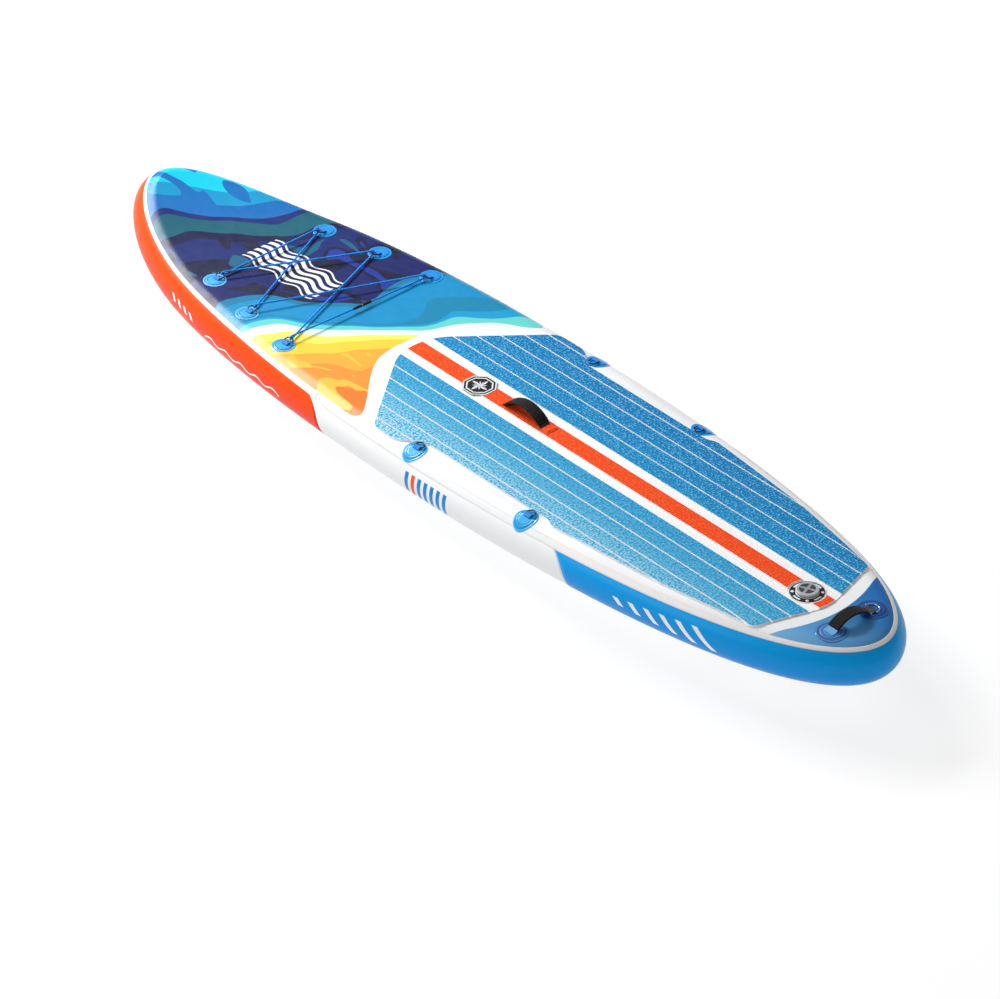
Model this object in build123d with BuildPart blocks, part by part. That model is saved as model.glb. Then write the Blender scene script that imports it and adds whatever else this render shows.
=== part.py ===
from build123d import *
import math
import os

# An inflatable stand up paddleboard: a drop-stitch hull with PVC rails, a grooved EVA deck
# pad, a laced bungee on the nose, two carry handles, ten D-rings, an inflation valve and a
# three-fin set underneath.
#
# Frame: +X from tail to nose, +Y to port, +Z up. The origin lies under the middle of the
# board's length and width, at the level of the fin's tip. Millimetres.

os.makedirs("parts", exist_ok=True)


def keep(builder, name):
    """Labels a finished piece and writes it as its own STEP file."""
    builder.part.label = name
    export_step(builder.part, f"parts/{name}.step")


# ------------------------------------------------------------------ hull, driving sizes
BOARD_LENGTH = 3350
BOARD_WIDTH = 844
BOARD_THICKNESS = 152
FIN_REACH = 118  # from the hull's bottom down to the centre fin's tip
WIDEST_X = -23  # the outline's widest station
NOSE_FULLNESS = (0.170, -0.072)  # how much fuller than an ellipse the outline runs
TAIL_FULLNESS = (0.089, 0.090)
ROCKER_START_X = 1118  # ahead of this the hull bends up in one arc
ROCKER_RADIUS = 1750
OUTLINE_POINTS = 48

SHEET = 1.0  # drop-stitch face sheet
RAIL_WALL = 1.2
HULL_SEAM_GAP = 0.3  # where two hull panels meet edge to edge
NOSE_RAIL_END_X = 385  # colour panels of the rail meet here
TAIL_RAIL_END_X = -700
PIPING = 0.9  # thickness of the welded piping strip
PIPING_BAND = (49, 62)  # degrees above the rail's middle
GLUE = 0.2  # glue line between layers

THREAD_RADIUS = 0.8
THREAD_PITCH = 120
THREAD_END_GAP = 0.6
THREAD_EDGE_INSET = 25

RAIL_RADIUS = BOARD_THICKNESS / 2
HULL_BOTTOM = FIN_REACH
MID_Z = HULL_BOTTOM + RAIL_RADIUS
DECK_Z = HULL_BOTTOM + BOARD_THICKNESS

# ------------------------------------------------------------------ deck pad
PAD_BASE = 1.8
PAD_STRIP = 3.0
PAD_NOSE_X = 385
PAD_NOSE_RADIUS = 185
PAD_NOSE_SWEEP = 39.2  # degrees, where the nose arc runs into the straight edge
PAD_LOBE_Y = 377
PAD_LOBE_END_X = 55
PAD_WAIST = ((-75, 322), (-573, 317))  # between the side patches
PAD_STEP = (-623, 331)
PAD_FLANK = (-1010, 292)
PAD_FLANK_RADIUS = 1500
PAD_HIP = (-1287, 242)
PAD_TAIL_X = -1429
PAD_TAIL_RADIUS = 150
PAD_TAIL_SWEEP = 17
PAD_TAIL_CORNER = (-1366, 228)
PAD_CORNER_RADIUS = 40
PAD_STRIP_INSET = 1.5  # the blue strips stop this far inside the white base
PAD_CUT_GAP = 1.5  # between the pad and the patches it is cut round
STRIPE_WIDTH = 63
LANE_START_Y = 65  # inner edge of the first blue lane
LANE_GROOVE_Y = 119.5  # first groove
LANE_PITCH = 56.3
LANE_GROOVE = 4
LANE_COUNT = 5
BADGE_X = 80
BADGE_ACROSS = 104
BADGE = 1.0

# ------------------------------------------------------------------ D-ring stations
PATCH = 1.2
SHOULDER_RUN = 110  # flat run and degrees of shoulder that a station's layers cover
SHOULDER_SWEEP = 65
NOSE_STATIONS = ((1078, 222), (863, 267), (650, 298))
SIDE_STATIONS = ((-48, 366), (-530, 353))
PATCH_RADIUS = 38
COVER_RADIUS = 28
BAR_OFFSET = 12  # ring bar inboard of the patch centre
TAB_START = 1  # outboard end of the webbing tab from the patch centre
TAB_WIDTH = 24
WEBBING = 1.5  # webbing round the ring bar
WIRE_RADIUS = 2.0
RING_WIDTH = 29  # between the centre lines of the ring's arms
RING_REACH = 22.5  # from the bar's centre line to the tip's
RING_CORNER = 2.4
PIN_CLEARANCE = 0.05
NOSE_RING_TILT = 18  # degrees, where the tight cord holds the nose rings

# ------------------------------------------------------------------ bungee
CORD_RADIUS = 3.0
CORD_CLEARANCE = 0.3
JOINER_SHARE = 0.53  # place of the joiner on its run
JOINER_LENGTH = 4
JOINER_RADIUS = 3.7
SLEEVE_LENGTH = 34
SLEEVE_RADIUS = 4.6
SLEEVE_CLEARANCE = 0.15

# ------------------------------------------------------------------ handles
STRAP_WIDTH = 38
STRAP = 2.4
SLEEVE = 7.0  # padded sleeve round the strap
SLEEVE_OVERHANG = 2.0  # on each side of the strap
STRAP_CLEARANCE = 0.2
CENTRE_HANDLE_X = -134
CENTRE_HANDLE_SPAN = 166
CENTRE_HANDLE_RISE = 37
ANCHOR_LENGTH = 34
ANCHOR_SKIN = 1.4
ANCHOR_MARGIN = 5
TAIL_HANDLE_X = -1524
TAIL_HANDLE_ENDS = (82, -58)  # port and starboard foot of the arch, along Y
TAIL_HANDLE_RISE = 30
TAIL_STRAP_TAIL = 14
TAIL_PATCH_Y = 80
TAIL_PATCH_RADIUS = 48
TAIL_COVER_RADIUS = 34
TAIL_RING_WIDTH = 44
TAIL_RING_REACH = 24
TAIL_TAB_WIDTH = 39
TAIL_BAR_Y = -75
TAIL_TAB_START = 12.5

# ------------------------------------------------------------------ valve
VALVE_X = -1342
FLANGE_RADIUS = 55
FLANGE = 3.0
VALVE_RADIUS = 18
VALVE_BORE = 13.5
VALVE_DEPTH = 38
COLLAR_RADIUS = 31
COLLAR = 3.0
NUT_RADIUS = 29
NUT = 8.0
GASKET = 1.5
NECK_CLEARANCE = 0.3
STEM_RADIUS = 3.0
BUTTON_RADIUS = 8.0
BUTTON = 3.0
BUTTON_TOP = 2.0  # above the deck
HUB_RADIUS = 4.8
HUB_TOP = -18
HUB = 4.0
SEAT = 3.0
SEAT_BORE = 9.0
POPPET_RADIUS = 12.0
POPPET = 3.0
SPRING_RADIUS = 5.6
SPRING_WIRE = 0.6
SPRING_COILS = 5
CAP_RADIUS = 34
CAP = 8.0
CAP_GAP = 0.5
CAP_PLUG_DEPTH = 3.0
CAP_PLUG_WALL = 2.6
CAP_GRIPS = 24

# ------------------------------------------------------------------ fins
FIN_X = -1330
BOX_LENGTH = 210
BOX_WIDTH = 36
BOX_DEPTH = 15
BOX_END = 12
PLATE_MARGIN = 16
FIN_PLATE = 1.2
LIP = 5.0  # below the T slot
SLOT_WIDTH = 9.4
T_WIDTH = 18.6
T_DEPTH = 5.6
FIN_CLEARANCE = 0.25
FOOT_LENGTH = 112
TONGUE = 2.4
TONGUE_LENGTH = 22
NUT_LENGTH = 16
SCREW_RADIUS = 2.0
SCREW_HEAD = (5.0, 3.0)  # radius, height
FIN_CHORDS = (108, 92, 66, 34)  # from the root to the tip
FIN_RAKES = (0, -12, -34, -62)
FIN_THICKNESSES = (9, 8, 6.5, 4)
SIDE_FIN_X = -1130
SIDE_FIN_Y = 105
SIDE_FIN_DEPTH = 78
SIDE_FIN_CHORDS = (96, 74, 34)
SIDE_FIN_RAKES = (0, -16, -46)
SIDE_FIN_THICKNESSES = (7, 6, 4)
SIDE_FIN_BASE = (124, 34, 2.4)


# ------------------------------------------------------------------ the board's outline
def outline_point(turn, inset=0.0):
    """A point of the plan outline, moved square to it by inset.

    turn runs from 0 at the nose through port (90 degrees) to the tail: x follows its
    cosine and y its sine, times 1 + a cos2 + b cos4 for the fuller ends.
    """

    def raw(angle):
        c, s = math.cos(angle), math.sin(angle)
        a, b = NOSE_FULLNESS if c >= 0 else TAIL_FULLNESS
        reach = BOARD_LENGTH / 2 - WIDEST_X if c >= 0 else BOARD_LENGTH / 2 + WIDEST_X
        return WIDEST_X + reach * c, BOARD_WIDTH / 2 * s * (1 + a * c * c + b * c**4)

    step = 1e-4
    x, y = raw(turn)
    (x0, y0), (x1, y1) = raw(turn - step), raw(turn + step)
    length = math.hypot(x1 - x0, y1 - y0)
    return x - inset * (y1 - y0) / length, y + inset * (x1 - x0) / length


def turn_at(x, inset=RAIL_RADIUS):
    """The port turn at which the inset outline passes this x, by halving."""
    low, high = 0.0, math.pi
    for _ in range(60):
        middle = (low + high) / 2
        if outline_point(middle, inset)[0] > x:
            low = middle
        else:
            high = middle
    return low


def half_width(x, inset=RAIL_RADIUS):
    return outline_point(turn_at(x, inset), inset)[1]


def rocker(x):
    """How far the nose bends up at this x."""
    run = max(0.0, x - ROCKER_START_X)
    return ROCKER_RADIUS - math.sqrt(ROCKER_RADIUS**2 - run**2)


def outline_prism(inset, low, high):
    """Upright prism of the inset outline between two heights."""
    turns = [2 * math.pi * k / OUTLINE_POINTS for k in range(OUTLINE_POINTS)]
    with BuildPart() as prism:
        with BuildSketch(Plane.XY.offset(low)):
            with BuildLine():
                Spline(*[outline_point(t, inset) for t in turns], periodic=True)
            make_face()
        extrude(amount=high - low)
    return prism.part


def rocker_slab(low, high):
    """Sheet between two heights above the mid plane that bends up with the rocker."""
    bend = math.degrees(math.asin((BOARD_LENGTH / 2 - ROCKER_START_X) / ROCKER_RADIUS)) + 1
    tail = -BOARD_LENGTH / 2 - BOARD_THICKNESS
    with BuildPart() as slab:
        with BuildSketch(Plane.XZ):
            with BuildLine():
                under = Line((tail, MID_Z + low), (ROCKER_START_X, MID_Z + low))
                under_bend = JernArc(under @ 1, under % 1, ROCKER_RADIUS, bend)
                over = Line((tail, MID_Z + high), (ROCKER_START_X, MID_Z + high))
                over_bend = JernArc(over @ 1, over % 1, ROCKER_RADIUS, bend)
                Line(under @ 0, over @ 0)
                Line(under_bend @ 1, over_bend @ 1)
            make_face()
        extrude(amount=BOARD_WIDTH, both=True)
    return slab.part


envelopes = {}


def envelope(height):
    """The hull aft of the rocker, grown by height: its flat deck and rounded shoulders."""
    if height not in envelopes:
        with BuildPart() as grown:
            add(outline_prism(-height, MID_Z - RAIL_RADIUS / 4, DECK_Z + height))
            fillet(grown.faces().sort_by(Axis.Z)[-1].edges(), RAIL_RADIUS + height)
        envelopes[height] = grown.part
    return envelopes[height]


def rail_strip(start, end, points, inner, outer, low, high):
    """Band round the rail's core line: a slice of a tube wall, carried along the outline.

    start and end are turns, run towards the nose on the port side; low and high are the
    band's edges in degrees above the rail's middle.
    """
    turns = [start + (end - start) * k / points for k in range(points + 1)]
    core = [outline_point(t, RAIL_RADIUS) for t in turns]
    core = [(x, y, MID_Z + rocker(x)) for x, y in core]
    with BuildPart() as strip:
        with BuildLine() as path:
            spine = Spline(*core)
        with BuildLine() as above:
            Spline(*[(x, y, z + RAIL_RADIUS) for x, y, z in core])
        outward = Vector(0, 0, 1).cross(spine % 0)
        with BuildSketch(Plane(spine @ 0, x_dir=outward, z_dir=spine % 0)):
            with BuildLine():
                skin = CenterArc((0, 0), outer, low, high - low)
                lining = CenterArc((0, 0), inner, low, high - low)
                Line(skin @ 0, lining @ 0)
                Line(skin @ 1, lining @ 1)
            make_face()
        sweep(path=path.line, binormal=above.wire())
    return strip.part


# ------------------------------------------------------------------ hull panels
with BuildPart() as deck_sheet:
    add(rocker_slab(RAIL_RADIUS - SHEET, RAIL_RADIUS))
    flat_inset = RAIL_RADIUS + HULL_SEAM_GAP
    add(outline_prism(flat_inset, 0, DECK_Z + BOARD_THICKNESS), mode=Mode.INTERSECT)
    with BuildSketch(Plane.XY.offset(DECK_Z - BOARD_THICKNESS / 2)):
        with Locations((VALVE_X, 0)):
            Circle(VALVE_RADIUS + NECK_CLEARANCE)
    extrude(amount=BOARD_THICKNESS, mode=Mode.SUBTRACT)
keep(deck_sheet, "deck_sheet")

with BuildPart() as bottom_sheet:
    add(rocker_slab(-RAIL_RADIUS, SHEET - RAIL_RADIUS))
    add(outline_prism(flat_inset, 0, DECK_Z + BOARD_THICKNESS), mode=Mode.INTERSECT)
keep(bottom_sheet, "bottom_sheet")

nose_turn = turn_at(NOSE_RAIL_END_X + HULL_SEAM_GAP / 2)
nose_side_turn = turn_at(NOSE_RAIL_END_X - HULL_SEAM_GAP / 2)
tail_side_turn = turn_at(TAIL_RAIL_END_X + HULL_SEAM_GAP / 2)
tail_turn = turn_at(TAIL_RAIL_END_X - HULL_SEAM_GAP / 2)
rail_runs = {
    "nose_rail": (nose_turn, -nose_turn, 24),
    "port_rail": (tail_side_turn, nose_side_turn, 10),
    "starboard_rail": (-nose_side_turn, -tail_side_turn, 10),
    "tail_rail": (2 * math.pi - tail_turn, tail_turn, 24),
}
for name, (start, end, points) in rail_runs.items():
    with BuildPart() as rail:
        add(rail_strip(start, end, points, RAIL_RADIUS - RAIL_WALL, RAIL_RADIUS, -90, 90))
    keep(rail, name)

for name, rail_name in (("nose_piping", "nose_rail"), ("tail_piping", "tail_rail")):
    start, end, points = rail_runs[rail_name]
    with BuildPart() as piping:
        skin = RAIL_RADIUS + GLUE
        add(rail_strip(start, end, points, skin, skin + PIPING, *PIPING_BAND))
    keep(piping, name)

columns = int(BOARD_LENGTH / THREAD_PITCH)
rows = int(BOARD_WIDTH / THREAD_PITCH)
thread_feet = []
for column in range(-columns // 2, columns // 2 + 1):
    for row in range(-rows // 2, rows // 2 + 1):
        x = (column + 0.5) * THREAD_PITCH
        y = (row + 0.5) * THREAD_PITCH
        limit = BOARD_LENGTH / 2 - RAIL_RADIUS - THREAD_EDGE_INSET
        if abs(x) > limit or abs(y) > half_width(x) - THREAD_EDGE_INSET:
            continue
        if math.hypot(x - VALVE_X, y) > NUT_RADIUS + THREAD_EDGE_INSET:
            thread_feet.append((x, y, MID_Z + rocker(x)))
with BuildPart() as drop_stitch_threads:
    with Locations(*thread_feet):
        Cylinder(THREAD_RADIUS, BOARD_THICKNESS - 2 * (SHEET + THREAD_END_GAP))
keep(drop_stitch_threads, "drop_stitch_threads")


# ------------------------------------------------------------------ deck pad
nose_points = [(x, side * y) for x, y in NOSE_STATIONS for side in (1, -1)]
side_points = [(x, side * y) for x, y in SIDE_STATIONS for side in (1, -1)]


def double_bend(start, end):
    """Two equal arcs that carry an edge running aft over to a parallel one."""
    run, step = start[0] - end[0], start[1] - end[1]
    radius = (run**2 + step**2) / (4 * abs(step))
    bend = 2 * math.degrees(math.atan2(step, run))
    first = JernArc(start, (-1, 0), radius, bend)
    JernArc(first @ 1, first % 1, radius, -bend)


def pad_face(shrink=0.0):
    """The pad's plan: rounded nose, side lobes, notched waist and a blunt pointed tail."""
    sweep_angle = math.radians(PAD_NOSE_SWEEP)
    tail_angle = math.radians(PAD_TAIL_SWEEP)
    nose_centre = (PAD_NOSE_X - PAD_NOSE_RADIUS, 0)
    tail_centre = (PAD_TAIL_X + PAD_TAIL_RADIUS, 0)
    with BuildSketch() as plan:
        with BuildLine():
            nose = CenterArc(nose_centre, PAD_NOSE_RADIUS, 0, PAD_NOSE_SWEEP)
            drop = PAD_LOBE_Y - (nose @ 1).Y
            lobe_x = (nose @ 1).X - drop * math.tan(sweep_angle)
            Polyline(nose @ 1, (lobe_x, PAD_LOBE_Y), (PAD_LOBE_END_X, PAD_LOBE_Y))
            waist, waist_end = PAD_WAIST
            double_bend((PAD_LOBE_END_X, PAD_LOBE_Y), waist)
            Line(waist, waist_end)
            double_bend(waist_end, PAD_STEP)
            Polyline(PAD_STEP, PAD_FLANK, PAD_HIP)
            tail = CenterArc(tail_centre, PAD_TAIL_RADIUS, 180 - PAD_TAIL_SWEEP, PAD_TAIL_SWEEP)
            corner_run = PAD_TAIL_CORNER[1] - (tail @ 0).Y
            corner_x = (tail @ 0).X + corner_run * math.tan(tail_angle)
            Polyline(PAD_HIP, (corner_x, PAD_TAIL_CORNER[1]), tail @ 0)
            Line(nose @ 0, tail @ 1)
        make_face()
        corners = (
            ((lobe_x, PAD_LOBE_Y), PAD_CORNER_RADIUS),
            ((corner_x, PAD_TAIL_CORNER[1]), PAD_CORNER_RADIUS),
            (PAD_FLANK, PAD_FLANK_RADIUS),
        )
        for place, radius in corners:
            fillet(plan.vertices().sort_by_distance(place)[0], radius)
        mirror(about=Plane.XZ)
        if shrink:
            offset(amount=-shrink, kind=Kind.INTERSECTION)
    return plan.sketch


def pad_layer(low, high, shrink=0.0):
    """A layer of the pad that follows the deck and its shoulders.

    It is cut round the valve's flange and round the side patches.
    """
    with BuildPart() as layer:
        add(envelope(high))
        add(envelope(low), mode=Mode.SUBTRACT)
        with BuildSketch(Plane.XY.offset(MID_Z)):
            add(pad_face(shrink))
        extrude(amount=BOARD_THICKNESS, mode=Mode.INTERSECT)
        with BuildSketch(Plane.XY.offset(MID_Z)):
            with Locations((VALVE_X, 0)):
                Circle(FLANGE_RADIUS + PAD_CUT_GAP)
            with Locations(*side_points):
                Circle(PATCH_RADIUS + PAD_CUT_GAP)
        extrude(amount=BOARD_THICKNESS, mode=Mode.SUBTRACT)
    return layer.part


base_top = GLUE + PAD_BASE
strip_bottom = base_top + GLUE
pad_top = strip_bottom + PAD_STRIP

with BuildPart() as pad_base:
    add(pad_layer(GLUE, base_top))
keep(pad_base, "pad_base")

strip_layer = pad_layer(strip_bottom, pad_top, PAD_STRIP_INSET)


def pad_lane(low, high):
    """The part of the strip layer between two distances to port."""
    with BuildPart() as lane:
        add(strip_layer)
        with BuildSketch(Plane.XY.offset(MID_Z)):
            with Locations((0, (low + high) / 2)):
                Rectangle(BOARD_LENGTH, high - low)
        extrude(amount=BOARD_THICKNESS, mode=Mode.INTERSECT)
    return lane.part


grooves = [LANE_GROOVE_Y + LANE_PITCH * k for k in range(LANE_COUNT)]
inner_edges = [LANE_START_Y, *[y + LANE_GROOVE / 2 for y in grooves]]
outer_edges = [*[y - LANE_GROOVE / 2 for y in grooves], BOARD_WIDTH / 2]
for name, side in (("pad_strips_port", 1), ("pad_strips_starboard", -1)):
    with BuildPart() as strips:
        for edges in zip(inner_edges, outer_edges):
            add(pad_lane(*sorted(side * y for y in edges)))
    keep(strips, name)

with BuildPart() as pad_stripe:
    add(pad_lane(-STRIPE_WIDTH / 2, STRIPE_WIDTH / 2))
keep(pad_stripe, "pad_stripe")

stripe_top = DECK_Z + pad_top
with BuildPart() as pad_badge:
    badge_z = stripe_top + GLUE
    with BuildSketch(Plane.XY.offset(badge_z)):
        with Locations((BADGE_X, 0)):
            RegularPolygon(BADGE_ACROSS / 2, 8, major_radius=False, rotation=22.5)
    extrude(amount=BADGE)
keep(pad_badge, "pad_badge")


# ------------------------------------------------------------------ D-ring stations
def core_circle(x, y):
    """Plan circle, as centre and radius, that the rail's core line follows near a point."""
    turns = [math.pi * k / 720 for k in range(721)]
    turn = min(turns, key=lambda t: math.dist(outline_point(t, RAIL_RADIUS), (x, abs(y))))
    step = 1e-3
    ends = [outline_point(turn + way * step, RAIL_RADIUS) for way in (-1, 1)]
    reach = 2 * step * TAIL_PATCH_RADIUS / math.dist(*ends)
    trio = [outline_point(turn + way * reach, RAIL_RADIUS) for way in (-1, 0, 1)]
    (x1, y1), (x2, y2), (x3, y3) = trio
    s1, s2, s3 = (px * px + py * py for px, py in trio)
    scale = 2 * (x1 * (y2 - y3) + x2 * (y3 - y1) + x3 * (y1 - y2))
    centre_x = (s1 * (y2 - y3) + s2 * (y3 - y1) + s3 * (y1 - y2)) / scale
    centre_y = (s1 * (x3 - x2) + s2 * (x1 - x3) + s3 * (x2 - x1)) / scale
    radius = math.dist((centre_x, centre_y), trio[1])
    return Vector(centre_x, math.copysign(centre_y, centre_y * y)), radius


def shoulder_layer(x, y, low, high):
    """Layer between two heights over the deck and its rounded shoulder, near a point."""
    centre, radius = core_circle(x, y)
    half_turn = math.degrees(1.4 * TAIL_PATCH_RADIUS / radius)
    out = (Vector(x, y) - centre).normalized().rotate(Axis.Z, -half_turn)
    section = Plane(centre + Vector(0, 0, MID_Z), x_dir=out, z_dir=out.cross(Vector(0, 0, 1)))
    with BuildPart() as layer:
        with BuildSketch(section):
            with BuildLine():
                over = Line((radius - SHOULDER_RUN, RAIL_RADIUS + high), (radius, RAIL_RADIUS + high))
                over_arc = CenterArc((radius, 0), RAIL_RADIUS + high, 90, -SHOULDER_SWEEP)
                under = Line((radius - SHOULDER_RUN, RAIL_RADIUS + low), (radius, RAIL_RADIUS + low))
                under_arc = CenterArc((radius, 0), RAIL_RADIUS + low, 90, -SHOULDER_SWEEP)
                Line(over @ 0, under @ 0)
                Line(over_arc @ 1, under_arc @ 1)
            make_face()
        revolve(axis=Axis(centre, (0, 0, 1)), revolution_arc=2 * half_turn)
    return layer.part


def round_patch(x, y, radius, low, high):
    """A round patch that lies on the deck and bends down with its shoulder."""
    centre, core_radius = core_circle(x, y)
    out = Vector(x, y) - centre
    lean = math.asin(max(0.0, out.length - core_radius) / RAIL_RADIUS)
    seat = Vector(x, y, DECK_Z - RAIL_RADIUS * (1 - math.cos(lean)))
    upright = out.normalized() * math.sin(lean) + Vector(0, 0, math.cos(lean))
    with BuildPart() as patch:
        add(shoulder_layer(x, y, low, high))
        with BuildSketch(Plane(seat - upright * RAIL_RADIUS / 2, z_dir=upright)):
            Circle(radius)
        extrude(amount=RAIL_RADIUS, mode=Mode.INTERSECT)
    return patch.part


patch_top = GLUE + PATCH
cover_bottom = patch_top + GLUE
cover_top = cover_bottom + PATCH
tab_bottom = cover_top + GLUE
bar_bore = WIRE_RADIUS + PIN_CLEARANCE
loop_radius = bar_bore + WEBBING
bar_z = DECK_Z + tab_bottom + loop_radius


def ring_tab(x, bar_y, inboard, width, length):
    """Folded webbing that holds a ring's bar, on its cover; inboard is -1 or 1 along Y."""
    outer_y = bar_y - inboard * length
    with BuildPart() as tab:
        with BuildSketch(Plane.YZ.offset(x - width / 2)):
            with Locations((bar_y, bar_z)):
                Circle(loop_radius)
            with BuildLine():
                Polyline(
                    (outer_y, DECK_Z - RAIL_RADIUS / 2),
                    (outer_y, bar_z - loop_radius / 2),
                    (bar_y, bar_z + loop_radius),
                    (bar_y, DECK_Z - RAIL_RADIUS / 2),
                    close=True,
                )
            make_face()
            with Locations((bar_y, bar_z)):
                Circle(bar_bore, mode=Mode.SUBTRACT)
        extrude(amount=width)
        add(shoulder_layer(x, bar_y, -RAIL_RADIUS / 2, tab_bottom), mode=Mode.SUBTRACT)
    return tab.part


def d_ring(x, bar_y, inboard, tilt, width, reach):
    """Closed D of round wire: a straight bar along X, two arms and a round tip."""
    rise = math.radians(tilt)
    out = Vector(0, inboard * math.cos(rise), math.sin(rise))
    flat = Plane((x, bar_y, bar_z), x_dir=(1, 0, 0), z_dir=Vector(1, 0, 0).cross(out))
    arm = width / 2
    bow = min(arm, reach - RING_CORNER - WIRE_RADIUS)
    with BuildPart() as ring:
        with BuildLine(flat) as wire:
            bar = Line((RING_CORNER - arm, 0), (arm - RING_CORNER, 0))
            first = JernArc(bar @ 1, bar % 1, RING_CORNER, 90)
            near = Line((arm, RING_CORNER), (arm, reach - bow))
            if bow < arm:
                JernArc(near @ 1, near % 1, bow, 90)
                tip = Line((arm - bow, reach), (bow - arm, reach))
                JernArc(tip @ 1, tip % 1, bow, 90)
            else:
                JernArc(near @ 1, near % 1, bow, 180)
            Line((-arm, reach - bow), (-arm, RING_CORNER))
            JernArc((-arm, RING_CORNER), (0, -1), RING_CORNER, 90)
        with BuildSketch(Plane(bar @ 0, x_dir=out, z_dir=(1, 0, 0))):
            Circle(WIRE_RADIUS)
        sweep(path=wire.line)
    return ring.part


def bar_y_of(y):
    return y - math.copysign(BAR_OFFSET, y)


for family, stations in (("nose", nose_points), ("side", side_points)):
    with BuildPart() as patches:
        for x, y in stations:
            add(round_patch(x, y, PATCH_RADIUS, GLUE, patch_top))
    keep(patches, f"{family}_patches")
    with BuildPart() as covers:
        for x, y in stations:
            add(round_patch(x, y, COVER_RADIUS, cover_bottom, cover_top))
    keep(covers, f"{family}_patch_covers")
    with BuildPart() as tabs:
        for x, y in stations:
            inboard = -math.copysign(1, y)
            add(ring_tab(x, bar_y_of(y), inboard, TAB_WIDTH, BAR_OFFSET - TAB_START))
    keep(tabs, f"{family}_ring_tabs")

with BuildPart() as nose_rings:
    for x, y in nose_points:
        inboard = -math.copysign(1, y)
        add(d_ring(x, bar_y_of(y), inboard, NOSE_RING_TILT, RING_WIDTH, RING_REACH))
keep(nose_rings, "nose_rings")

side_ring_names = ("side_ring_fp", "side_ring_fs", "side_ring_ap", "side_ring_as")
for name, (x, y) in zip(side_ring_names, side_points):
    with BuildPart() as side_ring:
        inboard = -math.copysign(1, y)
        add(d_ring(x, bar_y_of(y), inboard, 0, RING_WIDTH, RING_REACH))
    keep(side_ring, name)

# ------------------------------------------------------------------ bungee
# One cord laced through the six nose rings. At each ring it passes down round the tip:
# one leg leaves above the wire and the other below it, so crossing legs never meet.
wrap = WIRE_RADIUS + CORD_RADIUS + CORD_CLEARANCE
tilt = math.radians(NOSE_RING_TILT)
tip_z = bar_z + RING_REACH * math.sin(tilt)


def ring_turn(station, side, first_above):
    """The two corners of the cord's turn round a ring's tip."""
    x, y = NOSE_STATIONS[station]
    turn_y = side * (y - BAR_OFFSET - RING_REACH * math.cos(tilt) + wrap)
    above, below = (x, turn_y, tip_z + wrap), (x, turn_y, tip_z - wrap)
    return (above, below) if first_above else (below, above)


lacing = [
    *ring_turn(2, 1, True),
    *ring_turn(1, -1, False),
    *ring_turn(0, 1, True),
    *ring_turn(0, -1, True),
    *ring_turn(1, 1, False),
    *ring_turn(2, -1, True),
]
joined_run = Vector(lacing[-1]) - Vector(lacing[0])
joint = Vector(lacing[0]) + joined_run * JOINER_SHARE
along = joined_run.normalized()
cord_gap = JOINER_LENGTH / 2 + STRAP_CLEARANCE
route = [joint - along * cord_gap, *lacing, joint + along * cord_gap]
turn_radius = wrap - CORD_CLEARANCE / 3

with BuildPart() as bungee_cord:
    with BuildLine() as lace:
        FilletPolyline(*route, radius=[turn_radius] * len(lacing))
    with BuildSketch(Plane(route[0], z_dir=-along)):
        Circle(CORD_RADIUS)
    sweep(path=lace.line)
cord_length = sum(edge.length for edge in lace.edges())
cord_volume = math.pi * CORD_RADIUS**2 * cord_length
print("bungee: length", round(cord_length, 1), "turn radii", round(turn_radius, 2), "x", len(lacing))
print("bungee: volume", round(bungee_cord.part.volume), "section x length", round(cord_volume))
keep(bungee_cord, "bungee_cord")

with BuildPart() as bungee_sleeves:
    for way in (1, -1):
        with BuildSketch(Plane(joint + along * (way * cord_gap), z_dir=along * way)):
            Circle(SLEEVE_RADIUS)
            Circle(CORD_RADIUS + SLEEVE_CLEARANCE, mode=Mode.SUBTRACT)
        extrude(amount=SLEEVE_LENGTH)
keep(bungee_sleeves, "bungee_sleeves")

with BuildPart() as bungee_joiner:
    with BuildSketch(Plane(joint - along * (JOINER_LENGTH / 2), z_dir=along)):
        Circle(JOINER_RADIUS)
    extrude(amount=JOINER_LENGTH)
keep(bungee_joiner, "bungee_joiner")


# ------------------------------------------------------------------ handles
def arch(low_end, high_end, foot_z, rise):
    """Circle arc of a strap's centre line: its centre and radius in its plane's own axes."""
    half = (high_end - low_end) / 2
    radius = (half**2 + rise**2) / (2 * rise)
    return ((low_end + high_end) / 2, foot_z + rise - radius), radius


def strap_part(plane, low_end, high_end, foot_z, rise, tails, width):
    """Flat strap in an arch, with a flat tail at each foot."""
    middle = (low_end + high_end) / 2
    with BuildPart() as strap:
        with BuildLine(plane) as line:
            ThreePointArc((low_end, foot_z), (middle, foot_z + rise), (high_end, foot_z))
            Line((low_end - tails[0], foot_z), (low_end, foot_z))
            Line((high_end, foot_z), (high_end + tails[1], foot_z))
        start = plane.from_local_coords(Vector(low_end - tails[0], foot_z))
        with BuildSketch(Plane(start, x_dir=plane.z_dir, z_dir=plane.x_dir)):
            Rectangle(width, STRAP)
        sweep(path=line.line, transition=Transition.ROUND)
    return strap.part


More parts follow.
